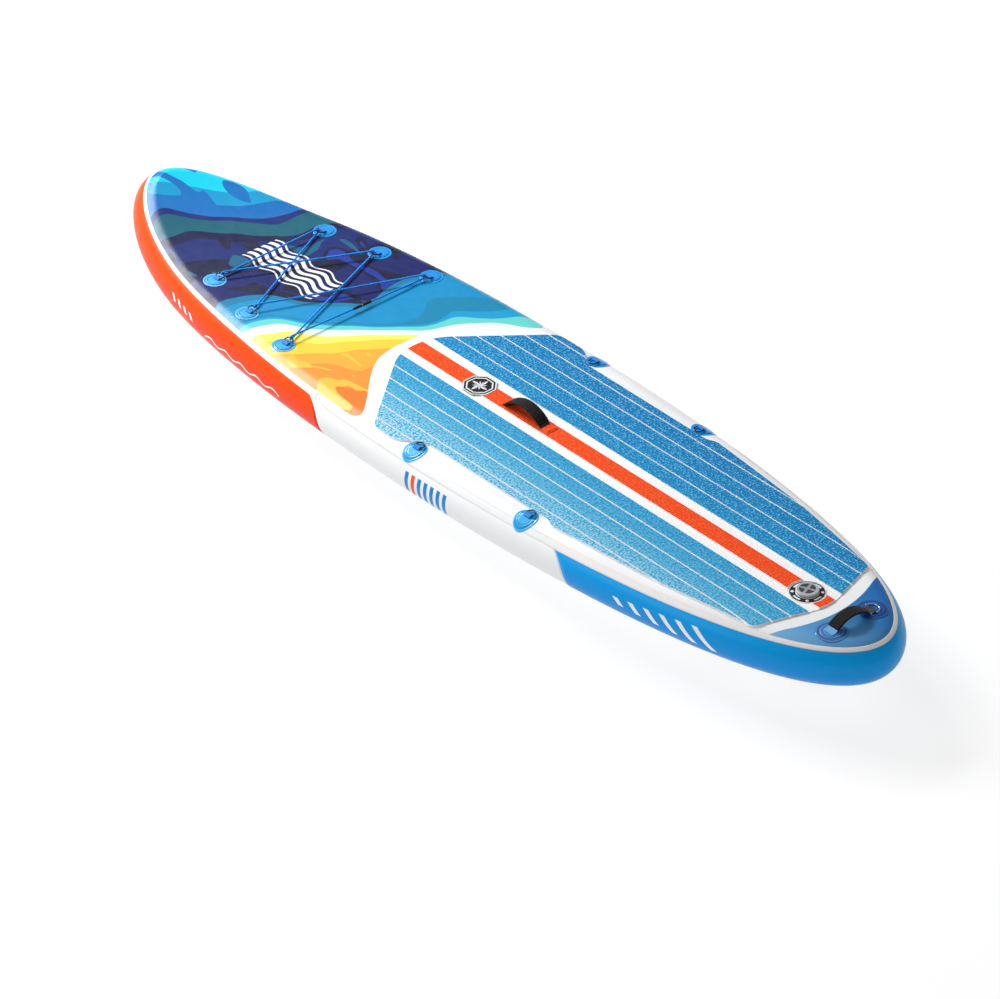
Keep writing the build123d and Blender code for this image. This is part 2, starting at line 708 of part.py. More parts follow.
def sleeve_part(plane, low_end, high_end, foot_z, rise, width, trim):
    """Padded sleeve over the middle of an arch, with a slot for the strap inside."""
    centre, radius = arch(low_end, high_end, foot_z, rise)
    half_turn = math.degrees(math.asin((high_end - low_end) / 2 / radius)) - trim
    outer = radius + SLEEVE / 2
    inner = radius - SLEEVE / 2
    slot = STRAP / 2 + STRAP_CLEARANCE
    with BuildPart() as sleeve:
        with BuildSketch(plane):
            with BuildLine():
                over = CenterArc(centre, outer, 90 - half_turn, 2 * half_turn)
                under = CenterArc(centre, inner, 90 - half_turn, 2 * half_turn)
                Line(over @ 0, under @ 0)
                Line(over @ 1, under @ 1)
            make_face()
        extrude(amount=width / 2 + SLEEVE_OVERHANG, both=True)
        with BuildSketch(plane):
            with Locations(centre):
                Circle(radius + slot)
                Circle(radius - slot, mode=Mode.SUBTRACT)
        extrude(amount=width / 2 + STRAP_CLEARANCE, both=True, mode=Mode.SUBTRACT)
    return sleeve.part


foot_z = stripe_top + STRAP_CLEARANCE + STRAP / 2
handle_low = CENTRE_HANDLE_X - CENTRE_HANDLE_SPAN / 2
handle_high = CENTRE_HANDLE_X + CENTRE_HANDLE_SPAN / 2
handle_tails = (ANCHOR_LENGTH - ANCHOR_MARGIN, ANCHOR_LENGTH - ANCHOR_MARGIN)
handle_args = (handle_low, handle_high, foot_z, CENTRE_HANDLE_RISE)
with BuildPart() as centre_handle_strap:
    add(strap_part(Plane.XZ, *handle_args, handle_tails, STRAP_WIDTH))
keep(centre_handle_strap, "centre_handle_strap")

with BuildPart() as centre_handle_sleeve:
    add(sleeve_part(Plane.XZ, *handle_args, STRAP_WIDTH, 5))
keep(centre_handle_sleeve, "centre_handle_sleeve")

pocket = STRAP + 2 * STRAP_CLEARANCE
with BuildPart() as handle_anchors:
    for end, way in ((handle_low, -1), (handle_high, 1)):
        middle = end + way * (ANCHOR_LENGTH / 2 + STRAP)
        with BuildSketch(Plane.XY.offset(stripe_top + GLUE)):
            with Locations((middle, 0)):
                RectangleRounded(ANCHOR_LENGTH, STRAP_WIDTH + 2 * ANCHOR_MARGIN, ANCHOR_MARGIN)
        extrude(amount=pocket - GLUE + ANCHOR_SKIN)
        with BuildSketch(Plane.XY.offset(stripe_top)):
            with Locations((middle - way * ANCHOR_MARGIN, 0)):
                Rectangle(ANCHOR_LENGTH, STRAP_WIDTH + 2 * STRAP_CLEARANCE)
        extrude(amount=pocket, mode=Mode.SUBTRACT)
keep(handle_anchors, "handle_anchors")

tail_points = [(TAIL_HANDLE_X, TAIL_PATCH_Y), (TAIL_HANDLE_X, -TAIL_PATCH_Y)]
with BuildPart() as tail_patches:
    for x, y in tail_points:
        add(round_patch(x, y, TAIL_PATCH_RADIUS, GLUE, patch_top))
keep(tail_patches, "tail_patches")

with BuildPart() as tail_patch_covers:
    for x, y in tail_points:
        add(round_patch(x, y, TAIL_COVER_RADIUS, cover_bottom, cover_top))
keep(tail_patch_covers, "tail_patch_covers")

tail_plane = Plane((TAIL_HANDLE_X, 0, 0), x_dir=(0, 1, 0), z_dir=(1, 0, 0))
tail_foot_z = DECK_Z + tab_bottom + STRAP / 2
tail_args = (TAIL_HANDLE_ENDS[1], TAIL_HANDLE_ENDS[0], tail_foot_z, TAIL_HANDLE_RISE)
with BuildPart() as tail_handle_strap:
    add(strap_part(tail_plane, *tail_args, (STRAP, TAIL_STRAP_TAIL), STRAP_WIDTH))
keep(tail_handle_strap, "tail_handle_strap")

with BuildPart() as tail_handle_sleeve:
    add(sleeve_part(tail_plane, *tail_args, STRAP_WIDTH, 6))
keep(tail_handle_sleeve, "tail_handle_sleeve")

with BuildPart() as tail_ring_tab:
    add(ring_tab(TAIL_HANDLE_X, TAIL_BAR_Y, -1, TAIL_TAB_WIDTH, TAIL_TAB_START))
keep(tail_ring_tab, "tail_ring_tab")

with BuildPart() as tail_ring:
    add(d_ring(TAIL_HANDLE_X, TAIL_BAR_Y, -1, 0, TAIL_RING_WIDTH, TAIL_RING_REACH))
keep(tail_ring, "tail_ring")

# ------------------------------------------------------------------ inflation valve
flange_bottom = DECK_Z + GLUE
flange_top = flange_bottom + FLANGE
collar_bottom = flange_top + GLUE
collar_top = collar_bottom + COLLAR
gasket_top = DECK_Z - SHEET - GLUE
nut_top = gasket_top - GASKET
valve_foot = DECK_Z - VALVE_DEPTH


def ring_disc(radius, bore, low, high):
    """Flat ring on the valve's axis between two heights."""
    with BuildPart() as disc:
        with BuildSketch(Plane.XY.offset(low)):
            with Locations((VALVE_X, 0)):
                Circle(radius)
                if bore:
                    Circle(bore, mode=Mode.SUBTRACT)
        extrude(amount=high - low)
    return disc.part


with BuildPart() as valve_flange:
    add(ring_disc(FLANGE_RADIUS, VALVE_RADIUS + NECK_CLEARANCE, flange_bottom, flange_top))
    chamfer(valve_flange.faces().sort_by(Axis.Z)[-1].edges().sort_by(SortBy.LENGTH)[-1], 1.2)
keep(valve_flange, "valve_flange")

with BuildPart() as valve_body:
    add(ring_disc(VALVE_RADIUS, VALVE_BORE, valve_foot, collar_top))
    add(ring_disc(COLLAR_RADIUS, VALVE_BORE, collar_bottom, collar_top))
    add(ring_disc(VALVE_RADIUS, SEAT_BORE, valve_foot, valve_foot + SEAT))
    hub_bottom = DECK_Z + HUB_TOP - HUB
    with BuildSketch(Plane.XY.offset(hub_bottom)):
        with Locations((VALVE_X, 0)):
            Circle(HUB_RADIUS)
            with PolarLocations(VALVE_BORE / 2, 3):
                Rectangle(VALVE_BORE + SEAT, SEAT)
        with Locations((VALVE_X, 0)):
            Circle(STEM_RADIUS + PIN_CLEARANCE, mode=Mode.SUBTRACT)
    extrude(amount=HUB)
keep(valve_body, "valve_body")

with BuildPart() as valve_gasket:
    add(ring_disc(NUT_RADIUS, VALVE_RADIUS + NECK_CLEARANCE, nut_top, gasket_top))
keep(valve_gasket, "valve_gasket")

with BuildPart() as valve_nut:
    with BuildSketch(Plane.XY.offset(nut_top - NUT)):
        with Locations((VALVE_X, 0)):
            Circle(NUT_RADIUS)
            with PolarLocations(NUT_RADIUS, 8):
                Circle(SEAT, mode=Mode.SUBTRACT)
            Circle(VALVE_RADIUS + NECK_CLEARANCE, mode=Mode.SUBTRACT)
    extrude(amount=NUT)
keep(valve_nut, "valve_nut")

button_top = DECK_Z + BUTTON_TOP
poppet_top = valve_foot - PIN_CLEARANCE
with BuildPart() as valve_stem:
    add(ring_disc(STEM_RADIUS, 0, poppet_top, button_top))
    add(ring_disc(BUTTON_RADIUS, 0, button_top - BUTTON, button_top))
keep(valve_stem, "valve_stem")

with BuildPart() as valve_poppet:
    add(ring_disc(POPPET_RADIUS, 0, poppet_top - POPPET, poppet_top))
keep(valve_poppet, "valve_poppet")

spring_bottom = DECK_Z + HUB_TOP + SPRING_WIRE + GLUE
spring_height = button_top - BUTTON - SPRING_WIRE - GLUE - spring_bottom
with BuildPart() as valve_spring:
    with BuildLine() as coil:
        turns = Helix(
            pitch=spring_height / SPRING_COILS,
            height=spring_height,
            radius=SPRING_RADIUS,
            center=(VALVE_X, 0, spring_bottom),
        )
    with BuildSketch(Plane(turns @ 0, x_dir=(1, 0, 0), z_dir=turns % 0)):
        Circle(SPRING_WIRE)
    sweep(path=coil.line, is_frenet=True)
keep(valve_spring, "valve_spring")

cap_bottom = collar_top + CAP_GAP
plug_radius = VALVE_BORE - NECK_CLEARANCE
with BuildPart() as valve_cap:
    add(ring_disc(CAP_RADIUS, 0, cap_bottom, cap_bottom + CAP))
    top_edge = valve_cap.faces().sort_by(Axis.Z)[-1].edges()
    chamfer(top_edge, 2)
    with BuildSketch(Plane.XY.offset(cap_bottom)):
        with Locations((VALVE_X, 0)):
            with PolarLocations(CAP_RADIUS, CAP_GRIPS):
                Circle(1.2)
    extrude(amount=CAP, mode=Mode.SUBTRACT)
    plug_bottom = cap_bottom - CAP_GAP - CAP_PLUG_DEPTH
    add(ring_disc(plug_radius, plug_radius - CAP_PLUG_WALL, plug_bottom, cap_bottom))
keep(valve_cap, "valve_cap")

# ------------------------------------------------------------------ fins
plate_bottom = HULL_BOTTOM - GLUE - FIN_PLATE
with BuildPart() as fin_base_plate:
    with BuildSketch(Plane.XY.offset(plate_bottom)):
        with Locations((FIN_X, 0)):
            plate_size = (BOX_LENGTH + 2 * PLATE_MARGIN, BOX_WIDTH + 2 * PLATE_MARGIN)
            RectangleRounded(*plate_size, PLATE_MARGIN)
    extrude(amount=FIN_PLATE)
keep(fin_base_plate, "fin_base_plate")

box_top = plate_bottom - GLUE
box_bottom = box_top - BOX_DEPTH
channel_length = BOX_LENGTH - 2 * BOX_END
with BuildPart() as fin_box:
    with BuildSketch(Plane.XY.offset(box_bottom)):
        with Locations((FIN_X, 0)):
            RectangleRounded(BOX_LENGTH, BOX_WIDTH, 8)
    extrude(amount=BOX_DEPTH)
    with BuildSketch(Plane.XY.offset(box_bottom)):
        with Locations((FIN_X, 0)):
            Rectangle(channel_length, SLOT_WIDTH)
    extrude(amount=LIP, mode=Mode.SUBTRACT)
    with BuildSketch(Plane.XY.offset(box_bottom + LIP)):
        with Locations((FIN_X, 0)):
            Rectangle(channel_length, T_WIDTH)
    extrude(amount=T_DEPTH, mode=Mode.SUBTRACT)
keep(fin_box, "fin_box")

neck_width = SLOT_WIDTH - 2 * FIN_CLEARANCE
foot_front = FIN_X - channel_length / 2 + FIN_CLEARANCE + FOOT_LENGTH
foot_middle = foot_front - FOOT_LENGTH / 2
foot_bottom = box_bottom + LIP + FIN_CLEARANCE
foot_height = T_DEPTH - 2 * FIN_CLEARANCE
tongue_top = box_bottom - FIN_CLEARANCE
tongue_bottom = tongue_top - TONGUE


def blade(x, y, root_z, depth, chords, rakes, thicknesses):
    """Foil from the root down to a flat tip: lens sections that shrink and rake aft."""
    last = len(chords) - 1
    with BuildPart() as foil:
        for k, (chord, rake, thick) in enumerate(zip(chords, rakes, thicknesses)):
            with BuildSketch(Plane.XY.offset(root_z - depth * k / last)):
                with BuildLine():
                    front = (x + rake + chord / 2, y)
                    rear = (x + rake - chord / 2, y)
                    ThreePointArc(front, (x + rake, y + thick / 2), rear)
                    ThreePointArc(front, (x + rake, y - thick / 2), rear)
                make_face()
        loft()
    return foil.part


with BuildPart() as centre_fin:
    with BuildSketch(Plane.XY.offset(foot_bottom)):
        with Locations((foot_middle, 0)):
            Rectangle(FOOT_LENGTH, T_WIDTH - 2 * FIN_CLEARANCE)
    extrude(amount=foot_height)
    with BuildSketch(Plane.XY.offset(tongue_bottom)):
        with Locations((foot_middle, 0)):
            Rectangle(FOOT_LENGTH, neck_width)
    extrude(amount=foot_bottom - tongue_bottom)
    with BuildSketch(Plane.XY.offset(tongue_bottom)):
        with Locations((foot_front + TONGUE_LENGTH / 2 - 1, 0)):
            Rectangle(TONGUE_LENGTH + 2, T_WIDTH)
    extrude(amount=TONGUE)
    screw_x = foot_front + TONGUE_LENGTH - NUT_LENGTH / 2
    with BuildSketch(Plane.XY.offset(tongue_bottom)):
        with Locations((screw_x, 0)):
            Circle(SCREW_RADIUS + FIN_CLEARANCE)
    extrude(amount=TONGUE, mode=Mode.SUBTRACT)
    fin_shape = (FIN_CHORDS, FIN_RAKES, FIN_THICKNESSES)
    add(blade(foot_middle, 0, tongue_bottom, tongue_bottom, *fin_shape))
keep(centre_fin, "centre_fin")

with BuildPart() as fin_nut_plate:
    with BuildSketch(Plane.XY.offset(foot_bottom)):
        with Locations((screw_x, 0)):
            Rectangle(NUT_LENGTH - 2 * FIN_CLEARANCE, T_WIDTH - 2 * FIN_CLEARANCE)
            Circle(SCREW_RADIUS + PIN_CLEARANCE, mode=Mode.SUBTRACT)
    extrude(amount=foot_height - FIN_CLEARANCE)
keep(fin_nut_plate, "fin_nut_plate")

with BuildPart() as fin_screw:
    with BuildSketch(Plane.XY.offset(tongue_bottom - GLUE)):
        with Locations((screw_x, 0)):
            Circle(SCREW_RADIUS)
    extrude(amount=foot_bottom + foot_height - FIN_CLEARANCE - tongue_bottom)
    with BuildSketch(Plane.XY.offset(tongue_bottom - GLUE)):
        with Locations((screw_x, 0)):
            Circle(SCREW_HEAD[0])
    extrude(amount=-SCREW_HEAD[1])
    with BuildSketch(Plane.XY.offset(tongue_bottom - GLUE - SCREW_HEAD[1])):
        with Locations((screw_x, 0)):
            Rectangle(2 * SCREW_HEAD[0], 1.2)
    extrude(amount=1.2, mode=Mode.SUBTRACT)
keep(fin_screw, "fin_screw")

base_length, base_width, base_height = SIDE_FIN_BASE
side_fin_top = HULL_BOTTOM - GLUE
side_fin_shape = (SIDE_FIN_CHORDS, SIDE_FIN_RAKES, SIDE_FIN_THICKNESSES)
for name, side in (("side_fin_port", 1), ("side_fin_starboard", -1)):
    with BuildPart() as side_fin:
        with BuildSketch(Plane.XY.offset(side_fin_top - base_height)):
            with Locations((SIDE_FIN_X, side * SIDE_FIN_Y)):
                Ellipse(base_length / 2, base_width / 2)
        extrude(amount=base_height)
        side_root = (SIDE_FIN_X, side * SIDE_FIN_Y, side_fin_top - base_height)
        add(blade(*side_root, SIDE_FIN_DEPTH, *side_fin_shape))
    keep(side_fin, name)
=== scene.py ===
"""Looks of an inflatable stand up paddleboard.

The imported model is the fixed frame. This script dresses it: printed and welded skins over
the hull, embossed foam on the deck, a laced cord, webbing, padded grips and fittings.
Lengths are in metres: +X runs from tail to nose, +Y to port and +Z up.
"""

import logging
import math
from collections.abc import Sequence
from dataclasses import dataclass
from enum import Enum

import bmesh
import bpy
import numpy as np
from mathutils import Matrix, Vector


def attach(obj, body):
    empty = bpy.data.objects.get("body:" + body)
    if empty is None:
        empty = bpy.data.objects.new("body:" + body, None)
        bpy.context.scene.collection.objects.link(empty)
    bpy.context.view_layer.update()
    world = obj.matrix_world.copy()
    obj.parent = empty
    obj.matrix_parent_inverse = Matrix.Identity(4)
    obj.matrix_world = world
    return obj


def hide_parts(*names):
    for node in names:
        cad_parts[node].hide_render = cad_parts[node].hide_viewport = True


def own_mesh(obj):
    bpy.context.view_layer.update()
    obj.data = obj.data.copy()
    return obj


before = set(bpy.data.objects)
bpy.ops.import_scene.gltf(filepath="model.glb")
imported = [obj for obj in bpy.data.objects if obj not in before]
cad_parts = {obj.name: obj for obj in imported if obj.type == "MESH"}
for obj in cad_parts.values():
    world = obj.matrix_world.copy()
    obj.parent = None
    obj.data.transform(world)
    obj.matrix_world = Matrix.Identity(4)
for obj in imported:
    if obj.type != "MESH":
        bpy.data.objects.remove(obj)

Array = np.ndarray
Colour = tuple[float, float, float, float]
Pair = tuple[float, float]
Mark = tuple[str, float, float, float, float]  # colour, start, end, low and high edge
Socket = bpy.types.NodeSocket
Node = bpy.types.Node
Material = bpy.types.Material
Object = bpy.types.Object

log = logging.getLogger("paddleboard")


# ---- colours and shader wiring
def srgb(code: str) -> Colour:
    """Turns a hex colour code into linear red, green, blue and alpha.

    Args:
        code: six hex digits.

    Returns:
        The linear colour, with full alpha.
    """
    shares = [int(code[k : k + 2], 16) / 255 for k in (0, 2, 4)]
    linear = [v / 12.92 if v <= 0.04045 else ((v + 0.055) / 1.055) ** 2.4 for v in shares]
    return (*linear, 1.0)


class Field:
    """A value that varies over a surface: arithmetic on it adds Math nodes."""

    def __init__(self, graph: "Graph", socket: Socket) -> None:
        """Wraps the socket that gives the value in a material under way."""
        self.graph, self.socket = graph, socket

    def __add__(self, other: object) -> "Field":
        """The sum."""
        return self.graph.math("ADD", self, other)

    def __sub__(self, other: object) -> "Field":
        """The difference."""
        return self.graph.math("SUBTRACT", self, other)

    def __rsub__(self, other: object) -> "Field":
        """The difference from a plain number."""
        return self.graph.math("SUBTRACT", other, self)

    def __mul__(self, other: object) -> "Field":
        """The product."""
        return self.graph.math("MULTIPLY", self, other)

    def __truediv__(self, other: object) -> "Field":
        """The quotient."""
        return self.graph.math("DIVIDE", self, other)

    def __abs__(self) -> "Field":
        """The size without its sign."""
        return self.graph.math("ABSOLUTE", self)


class Graph:
    """A material being wired: short calls that add shader nodes and join them.

    Where a call takes a value, it may be a field, a plain number or a hex colour code.
    """

    def __init__(self, name: str) -> None:
        """Starts a material with a Principled shader on its output."""
        self.material = bpy.data.materials.new(name)
        self.material.use_nodes = True
        self.tree = self.material.node_tree
        self.tree.nodes.clear()
        self.surface = self.add("BsdfPrincipled")
        output = self.add("OutputMaterial")
        self.tree.links.new(self.surface.outputs["BSDF"], output.inputs["Surface"])
        self.place = self.add("TexCoord")

    def add(self, kind: str, **settings: object) -> Node:
        """Adds one shader node and sets its properties."""
        node = self.tree.nodes.new("ShaderNode" + kind)
        for key, value in settings.items():
            setattr(node, key, value)
        return node

    def feed(self, socket: Socket, value: object) -> None:
        """Wires a field into a socket, or sets the socket to a plain value."""
        if isinstance(value, Field):
            self.tree.links.new(value.socket, socket)
        else:
            socket.default_value = srgb(value) if isinstance(value, str) else value

    def read(self, kind: str, output: object, values: dict, **settings: object) -> Field:
        """Adds a node, feeds its inputs and reads one output.

        Args:
            kind: the node's type.
            output: the name or number of the output.
            values: what goes into each input, by its name or number.
            settings: the node's properties.

        Returns:
            The output.
        """
        node = self.add(kind, **settings)
        for key, value in values.items():
            self.feed(node.inputs[key], value)
        return Field(self, node.outputs[output])

    def coat(self, **values: object) -> None:
        """Sets or wires inputs of the Principled shader, with spaces written as underscores."""
        for key, value in values.items():
            self.feed(self.surface.inputs[key.replace("_", " ")], value)

    def math(self, operation: str, *values: object) -> Field:
        """Adds a Math node and returns its result."""
        return self.read("Math", 0, dict(enumerate(values)), operation=operation)

    def mix(self, share: object, first: object, second: object) -> Field:
        """Blends two colours by a share from 0 to 1."""
        return self.read("Mix", 2, {0: share, 6: first, 7: second}, data_type="RGBA")

    def point(self, space: str = "Object") -> Field:
        """The point on the piece: in metres, or its UV coordinates."""
        return Field(self, self.place.outputs[space])

    def split(self, vector: Field) -> tuple[Field, Field, Field]:
        """The three parts of a vector."""
        node = self.add("SeparateXYZ")
        self.feed(node.inputs[0], vector)
        return tuple(Field(self, node.outputs[k]) for k in range(3))

    def xyz(self) -> tuple[Field, Field, Field]:
        """How far ahead, to port and up a point lies, in metres."""
        return self.split(self.point())

    def uv(self) -> tuple[Field, Field]:
        """A point's two surface coordinates."""
        return self.split(self.point("UV"))[:2]

    def join(self, x: object, y: object, z: object = 0.0) -> Field:
        """A vector from three parts."""
        return self.read("CombineXYZ", 0, {0: x, 1: y, 2: z})

    def noise(self, scale: float, detail: float = 2.0, swirl: float = 0.0, at: Field | None = None) -> Field:
        """Soft noise from 0 to 1, with a number of patches to the metre.

        Args:
            scale: patches to the metre.
            detail: how many finer layers are added.
            swirl: how far the noise is bent by itself.
            at: where it is read, if not at the point on the piece.

        Returns:
            The noise.
        """
        values = {"Vector": at or self.point(), "Scale": scale, "Detail": detail, "Distortion": swirl}
        return self.read("TexNoise", "Fac", values)

    def cells(self, vector: Field, scale: float, loose: float) -> tuple[Field, Field]:
        """Flat cells, so many to the metre: distance from the nearest middle, and a draw per cell."""
        values = {"Vector": vector, "Scale": scale, "Randomness": loose}
        gap = self.read("TexVoronoi", "Distance", values, voronoi_dimensions="2D")
        return gap, self.split(Field(self, gap.socket.node.outputs["Color"]))[0]

    def rise(self, value: Field, low: float, high: float, start: float = 0.0, end: float = 1.0) -> Field:
        """A smooth step from start to end as a value passes from low to high."""
        values = dict(enumerate((value, low, high, start, end)))
        return self.read("MapRange", 0, values, interpolation_type="SMOOTHSTEP")

    def ramp(self, value: Field, stops: tuple[tuple[float, str], ...], stepped: bool = False) -> Field:
        """A colour picked along a row of stops, in steps or blended."""
        colour = self.read("ValToRGB", 0, {0: value})
        band = colour.socket.node.color_ramp
        band.interpolation = "CONSTANT" if stepped else "LINEAR"
        for k, (place, code) in enumerate(stops):
            stop = band.elements[k] if k < 2 else band.elements.new(place)
            stop.position = place
            stop.color = srgb(code)
        return colour

    def curve(self, value: Field, points: list[Pair]) -> Field:
        """A value read off a smooth curve through a few points, both from 0 to 1."""
        result = self.read("FloatCurve", 0, {"Value": value})
        mapping = result.socket.node.mapping
        line = mapping.curves[0].points
        for k, place in enumerate(points):
            if k < 2:
                line[k].location = place
            else:
                line.new(*place)
        mapping.update()
        return result

    def waves(self, value: Field, pitch: float) -> Field:
        """A sine that repeats after each pitch."""
        return self.math("SINE", value * (2 * math.pi / pitch))

    def relief(self, height: Field, distance: float, strength: float) -> Field:
        """A bump from a height between 0 and 1, worth a distance in metres."""
        return self.read("Bump", 0, {"Height": height, "Distance": distance, "Strength": strength})


# ---- mesh building
def place_data(name: str, data: bpy.types.ID) -> Object:
    """Puts a mesh, curve, lamp or camera into the scene as an object."""
    piece = bpy.data.objects.new(name, data)
    bpy.context.scene.collection.objects.link(piece)
    return piece


def full_turn(count: int) -> Array:
    """Evenly spaced angles once round, without the last."""
    return np.linspace(0, 2 * np.pi, count, endpoint=False)


def make_piece(name: str, points: Array, faces: Array, uv: Array | None = None) -> Object:
    """Builds a smooth mesh object from whole arrays.

    Args:
        name: the object's name.
        points: one point per row.
        faces: four point numbers per row.
        uv: one surface coordinate per point, if the finish follows the surface.

    Returns:
        The new object, at the origin.
    """
    mesh = bpy.data.meshes.new(name)
    mesh.vertices.add(len(points))
    mesh.vertices.foreach_set("co", np.asarray(points, np.float32).ravel())
    corners = faces.ravel().astype(np.int32)
    mesh.loops.add(len(corners))
    mesh.loops.foreach_set("vertex_index", corners)
    mesh.polygons.add(len(faces))
    mesh.polygons.foreach_set("loop_start", np.arange(len(faces), dtype=np.int32) * 4)
    mesh.update(calc_edges=True)
    if uv is not None:
        layer = mesh.uv_layers.new(name="UVMap")
        layer.data.foreach_set("uv", np.asarray(uv, np.float32)[corners].ravel())
    return place_data(name, mesh)


def close_up(piece: Object, sharp: float, outward: bool = True) -> Object:
    """Merges a mesh's doubled seams and poles, turns it outwards and smooths it.

    Args:
        piece: the object whose mesh is cleaned.
        sharp: edges bent by more than this many degrees keep a crease.
        outward: whether the faces of a closed shell are turned to its outside.

    Returns:
        The same object.
    """
    work = bmesh.new()
    work.from_mesh(piece.data)
    bmesh.ops.remove_doubles(work, verts=work.verts, dist=1e-6)
    bmesh.ops.dissolve_degenerate(work, edges=work.edges, dist=1e-7)
    if outward:
        bmesh.ops.recalc_face_normals(work, faces=work.faces)
    work.to_mesh(piece.data)
    work.free()
    piece.data.polygons.foreach_set("use_smooth", np.ones(len(piece.data.polygons), bool))
    piece.data.set_sharp_from_angle(angle=math.radians(sharp))
    piece.data.update()
    return piece


def grid_faces(rows: int, columns: int, wrap: bool = False) -> Array:
    """Quads over a grid of points, numbered row by row.

    Args:
        rows: how many rows of points.
        columns: how many points in a row.
        wrap: whether a row's last point joins its first.

    Returns:
        Four point numbers per quad.
    """
    across = columns if wrap else columns - 1
    i, j = np.meshgrid(np.arange(rows - 1), np.arange(across), indexing="ij")
    k = (j + 1) % columns
    quads = np.stack([i * columns + j, i * columns + k, (i + 1) * columns + k, (i + 1) * columns + j], -1)
    return quads.reshape(-1, 4)


def shell(name: str, grid: Array, sharp: float, uv: Array | None = None, wrap: bool = True) -> Object:
    """Closes rows of points into a piece.

    Args:
        name: the new object's name.
        grid: the points, row by row.
        sharp: crease angle in degrees.
        uv: surface coordinates in the same rows.
        wrap: whether a row's last point joins its first.

    Returns:
        The closed piece.
    """
    uv = None if uv is None else uv.reshape(-1, 2)
    return close_up(make_piece(name, grid.reshape(-1, 3), grid_faces(*grid.shape[:2], wrap), uv), sharp)


def capped(name: str, path: Array, body: Array, around: Array, sharp: float, wrap: bool = True) -> Object:
    """Closes a tube at both ends of its path.

    Args:
        name: the new object's name.
        path: the middle line.
        body: a row of points round each point of the path.
        around: how far round the tube each of a row's points lies.
        sharp: crease angle in degrees.
        wrap: whether a row's last point joins its first.

    Returns:
        The closed piece, with a UV map of metres along and round it.
    """
    ends = np.repeat(path[[0, -1]][:, None], body.shape[1], 1)
    metres = run_lengths(path)
    metres = np.concatenate([metres[:1], metres, metres[-1:]])
    uv = np.stack(np.meshgrid(metres, around, indexing="ij"), -1)
    return shell(name, np.concatenate([ends[:1], body, ends[1:]]), sharp, uv, wrap)


def read_all(items: bpy.types.bpy_prop_collection, key: str, width: int) -> Array:
    """One property of every vertex or face, a row of so many numbers each."""
    values = np.empty(len(items) * width)
    items.foreach_get(key, values)
    return values.reshape(-1, width)


def face_away(piece: Object, inside: tuple[float, float, float]) -> None:
    """Turns an open skin over if most of it faces a point inside the board."""
    faces = piece.data.polygons
    normals, centres, areas = (read_all(faces, *item) for item in (("normal", 3), ("center", 3), ("area", 1)))
    if ((centres - np.array(inside)) * normals * areas).sum() < 0:
        piece.data.flip_normals()


def unit(vectors: Array) -> Array:
    """Each vector at length one."""
    return vectors / np.linalg.norm(vectors, axis=-1, keepdims=True)


def run_lengths(points: Array) -> Array:
    """How far along a line of points each one lies."""
    steps = np.linalg.norm(np.diff(points, axis=0), axis=1)
    return np.concatenate([[0.0], np.cumsum(steps)])


def rounded_section(width: float, height: float, squareness: float, count: int) -> Array:
    """A closed section between an oval and a box.

    Its points follow a superellipse: the cosine and sine of a turn, each raised to two
    parts of the squareness with its sign kept, times half the width and half the height.

    Args:
        width: full width.
        height: full height.
        squareness: 2 gives an ellipse, and larger values give squarer sides.
        count: how many points.

    Returns:
        Points as (across, up).
    """
    turn = full_turn(count) + np.pi / count
    c, s = np.cos(turn), np.sin(turn)
    x = np.sign(c) * np.abs(c) ** (2 / squareness) * width / 2
    y = np.sign(s) * np.abs(s) ** (2 / squareness) * height / 2
    return np.stack([x, y], 1)


def carry(name: str, path: Array, across: Array, section: Array) -> Object:
    """Carries a closed section along a path and closes both ends.

    Point (i, j) is path[i] + section[j].across * across[i] + section[j].up * up[i], where up
    is square to the path and to across.

    Args:
        name: the new object's name.
        path: points of the middle line.
        across: the direction of the section's width at each point, or one for all.
        section: closed section as (across, up).

    Returns:
        The closed piece, with a UV map of metres along and round it.
    """
    path = np.asarray(path, float)
    across = unit(np.broadcast_to(across, path.shape).astype(float))
    along = unit(np.gradient(path, axis=0))
    across = unit(across - along * (across * along).sum(1, keepdims=True))
    up = np.cross(along, across)
    body = path[:, None] + across[:, None] * section[None, :, :1] + up[:, None] * section[None, :, 1:]
    around = run_lengths(np.concatenate([section, section[:1]]))[:-1]
    return capped(name, path, body, around, 60)


def turned(
    name: str, start: Array, axis: Array, side: Array, profile: list[Pair], spokes: int
) -> Object:
    """Turns a profile about an axis into a closed piece.

    Point (i, j) is start + profile[i].along * axis + profile[i].radius times the side
    direction, turned about the axis by the angle of spoke j.

    Args:
        name: the new object's name.
        start: a point on the axis.
        axis: the axis' direction.
        side: a direction square to it.
        profile: run of (distance along, radius), from one side round to the other.
        spokes: points round the axis.

    Returns:
        The closed piece.
    """
    run = np.array([*profile, profile[0]], float)
    turn = full_turn(spokes)[:, None]
    ring = np.cos(turn) * side + np.sin(turn) * np.cross(axis, side)
    return shell(name, start + run[:, None, :1] * axis + run[:, None, 1:] * ring[None], 30)


def joined(name: str, parts: list[Object]) -> Object:
    """Puts several new meshes into one object.

    Args:
        name: the object's name.
        parts: the objects, which are used up.

    Returns:
        One object that holds every part as its own shell.
    """
    work = bmesh.new()
    for part in parts:
        work.from_mesh(part.data)
        old = part.data
        bpy.data.objects.remove(part)
        bpy.data.meshes.remove(old)
    mesh = bpy.data.meshes.new(name)
    work.to_mesh(mesh)
    work.free()
    return place_data(name, mesh)


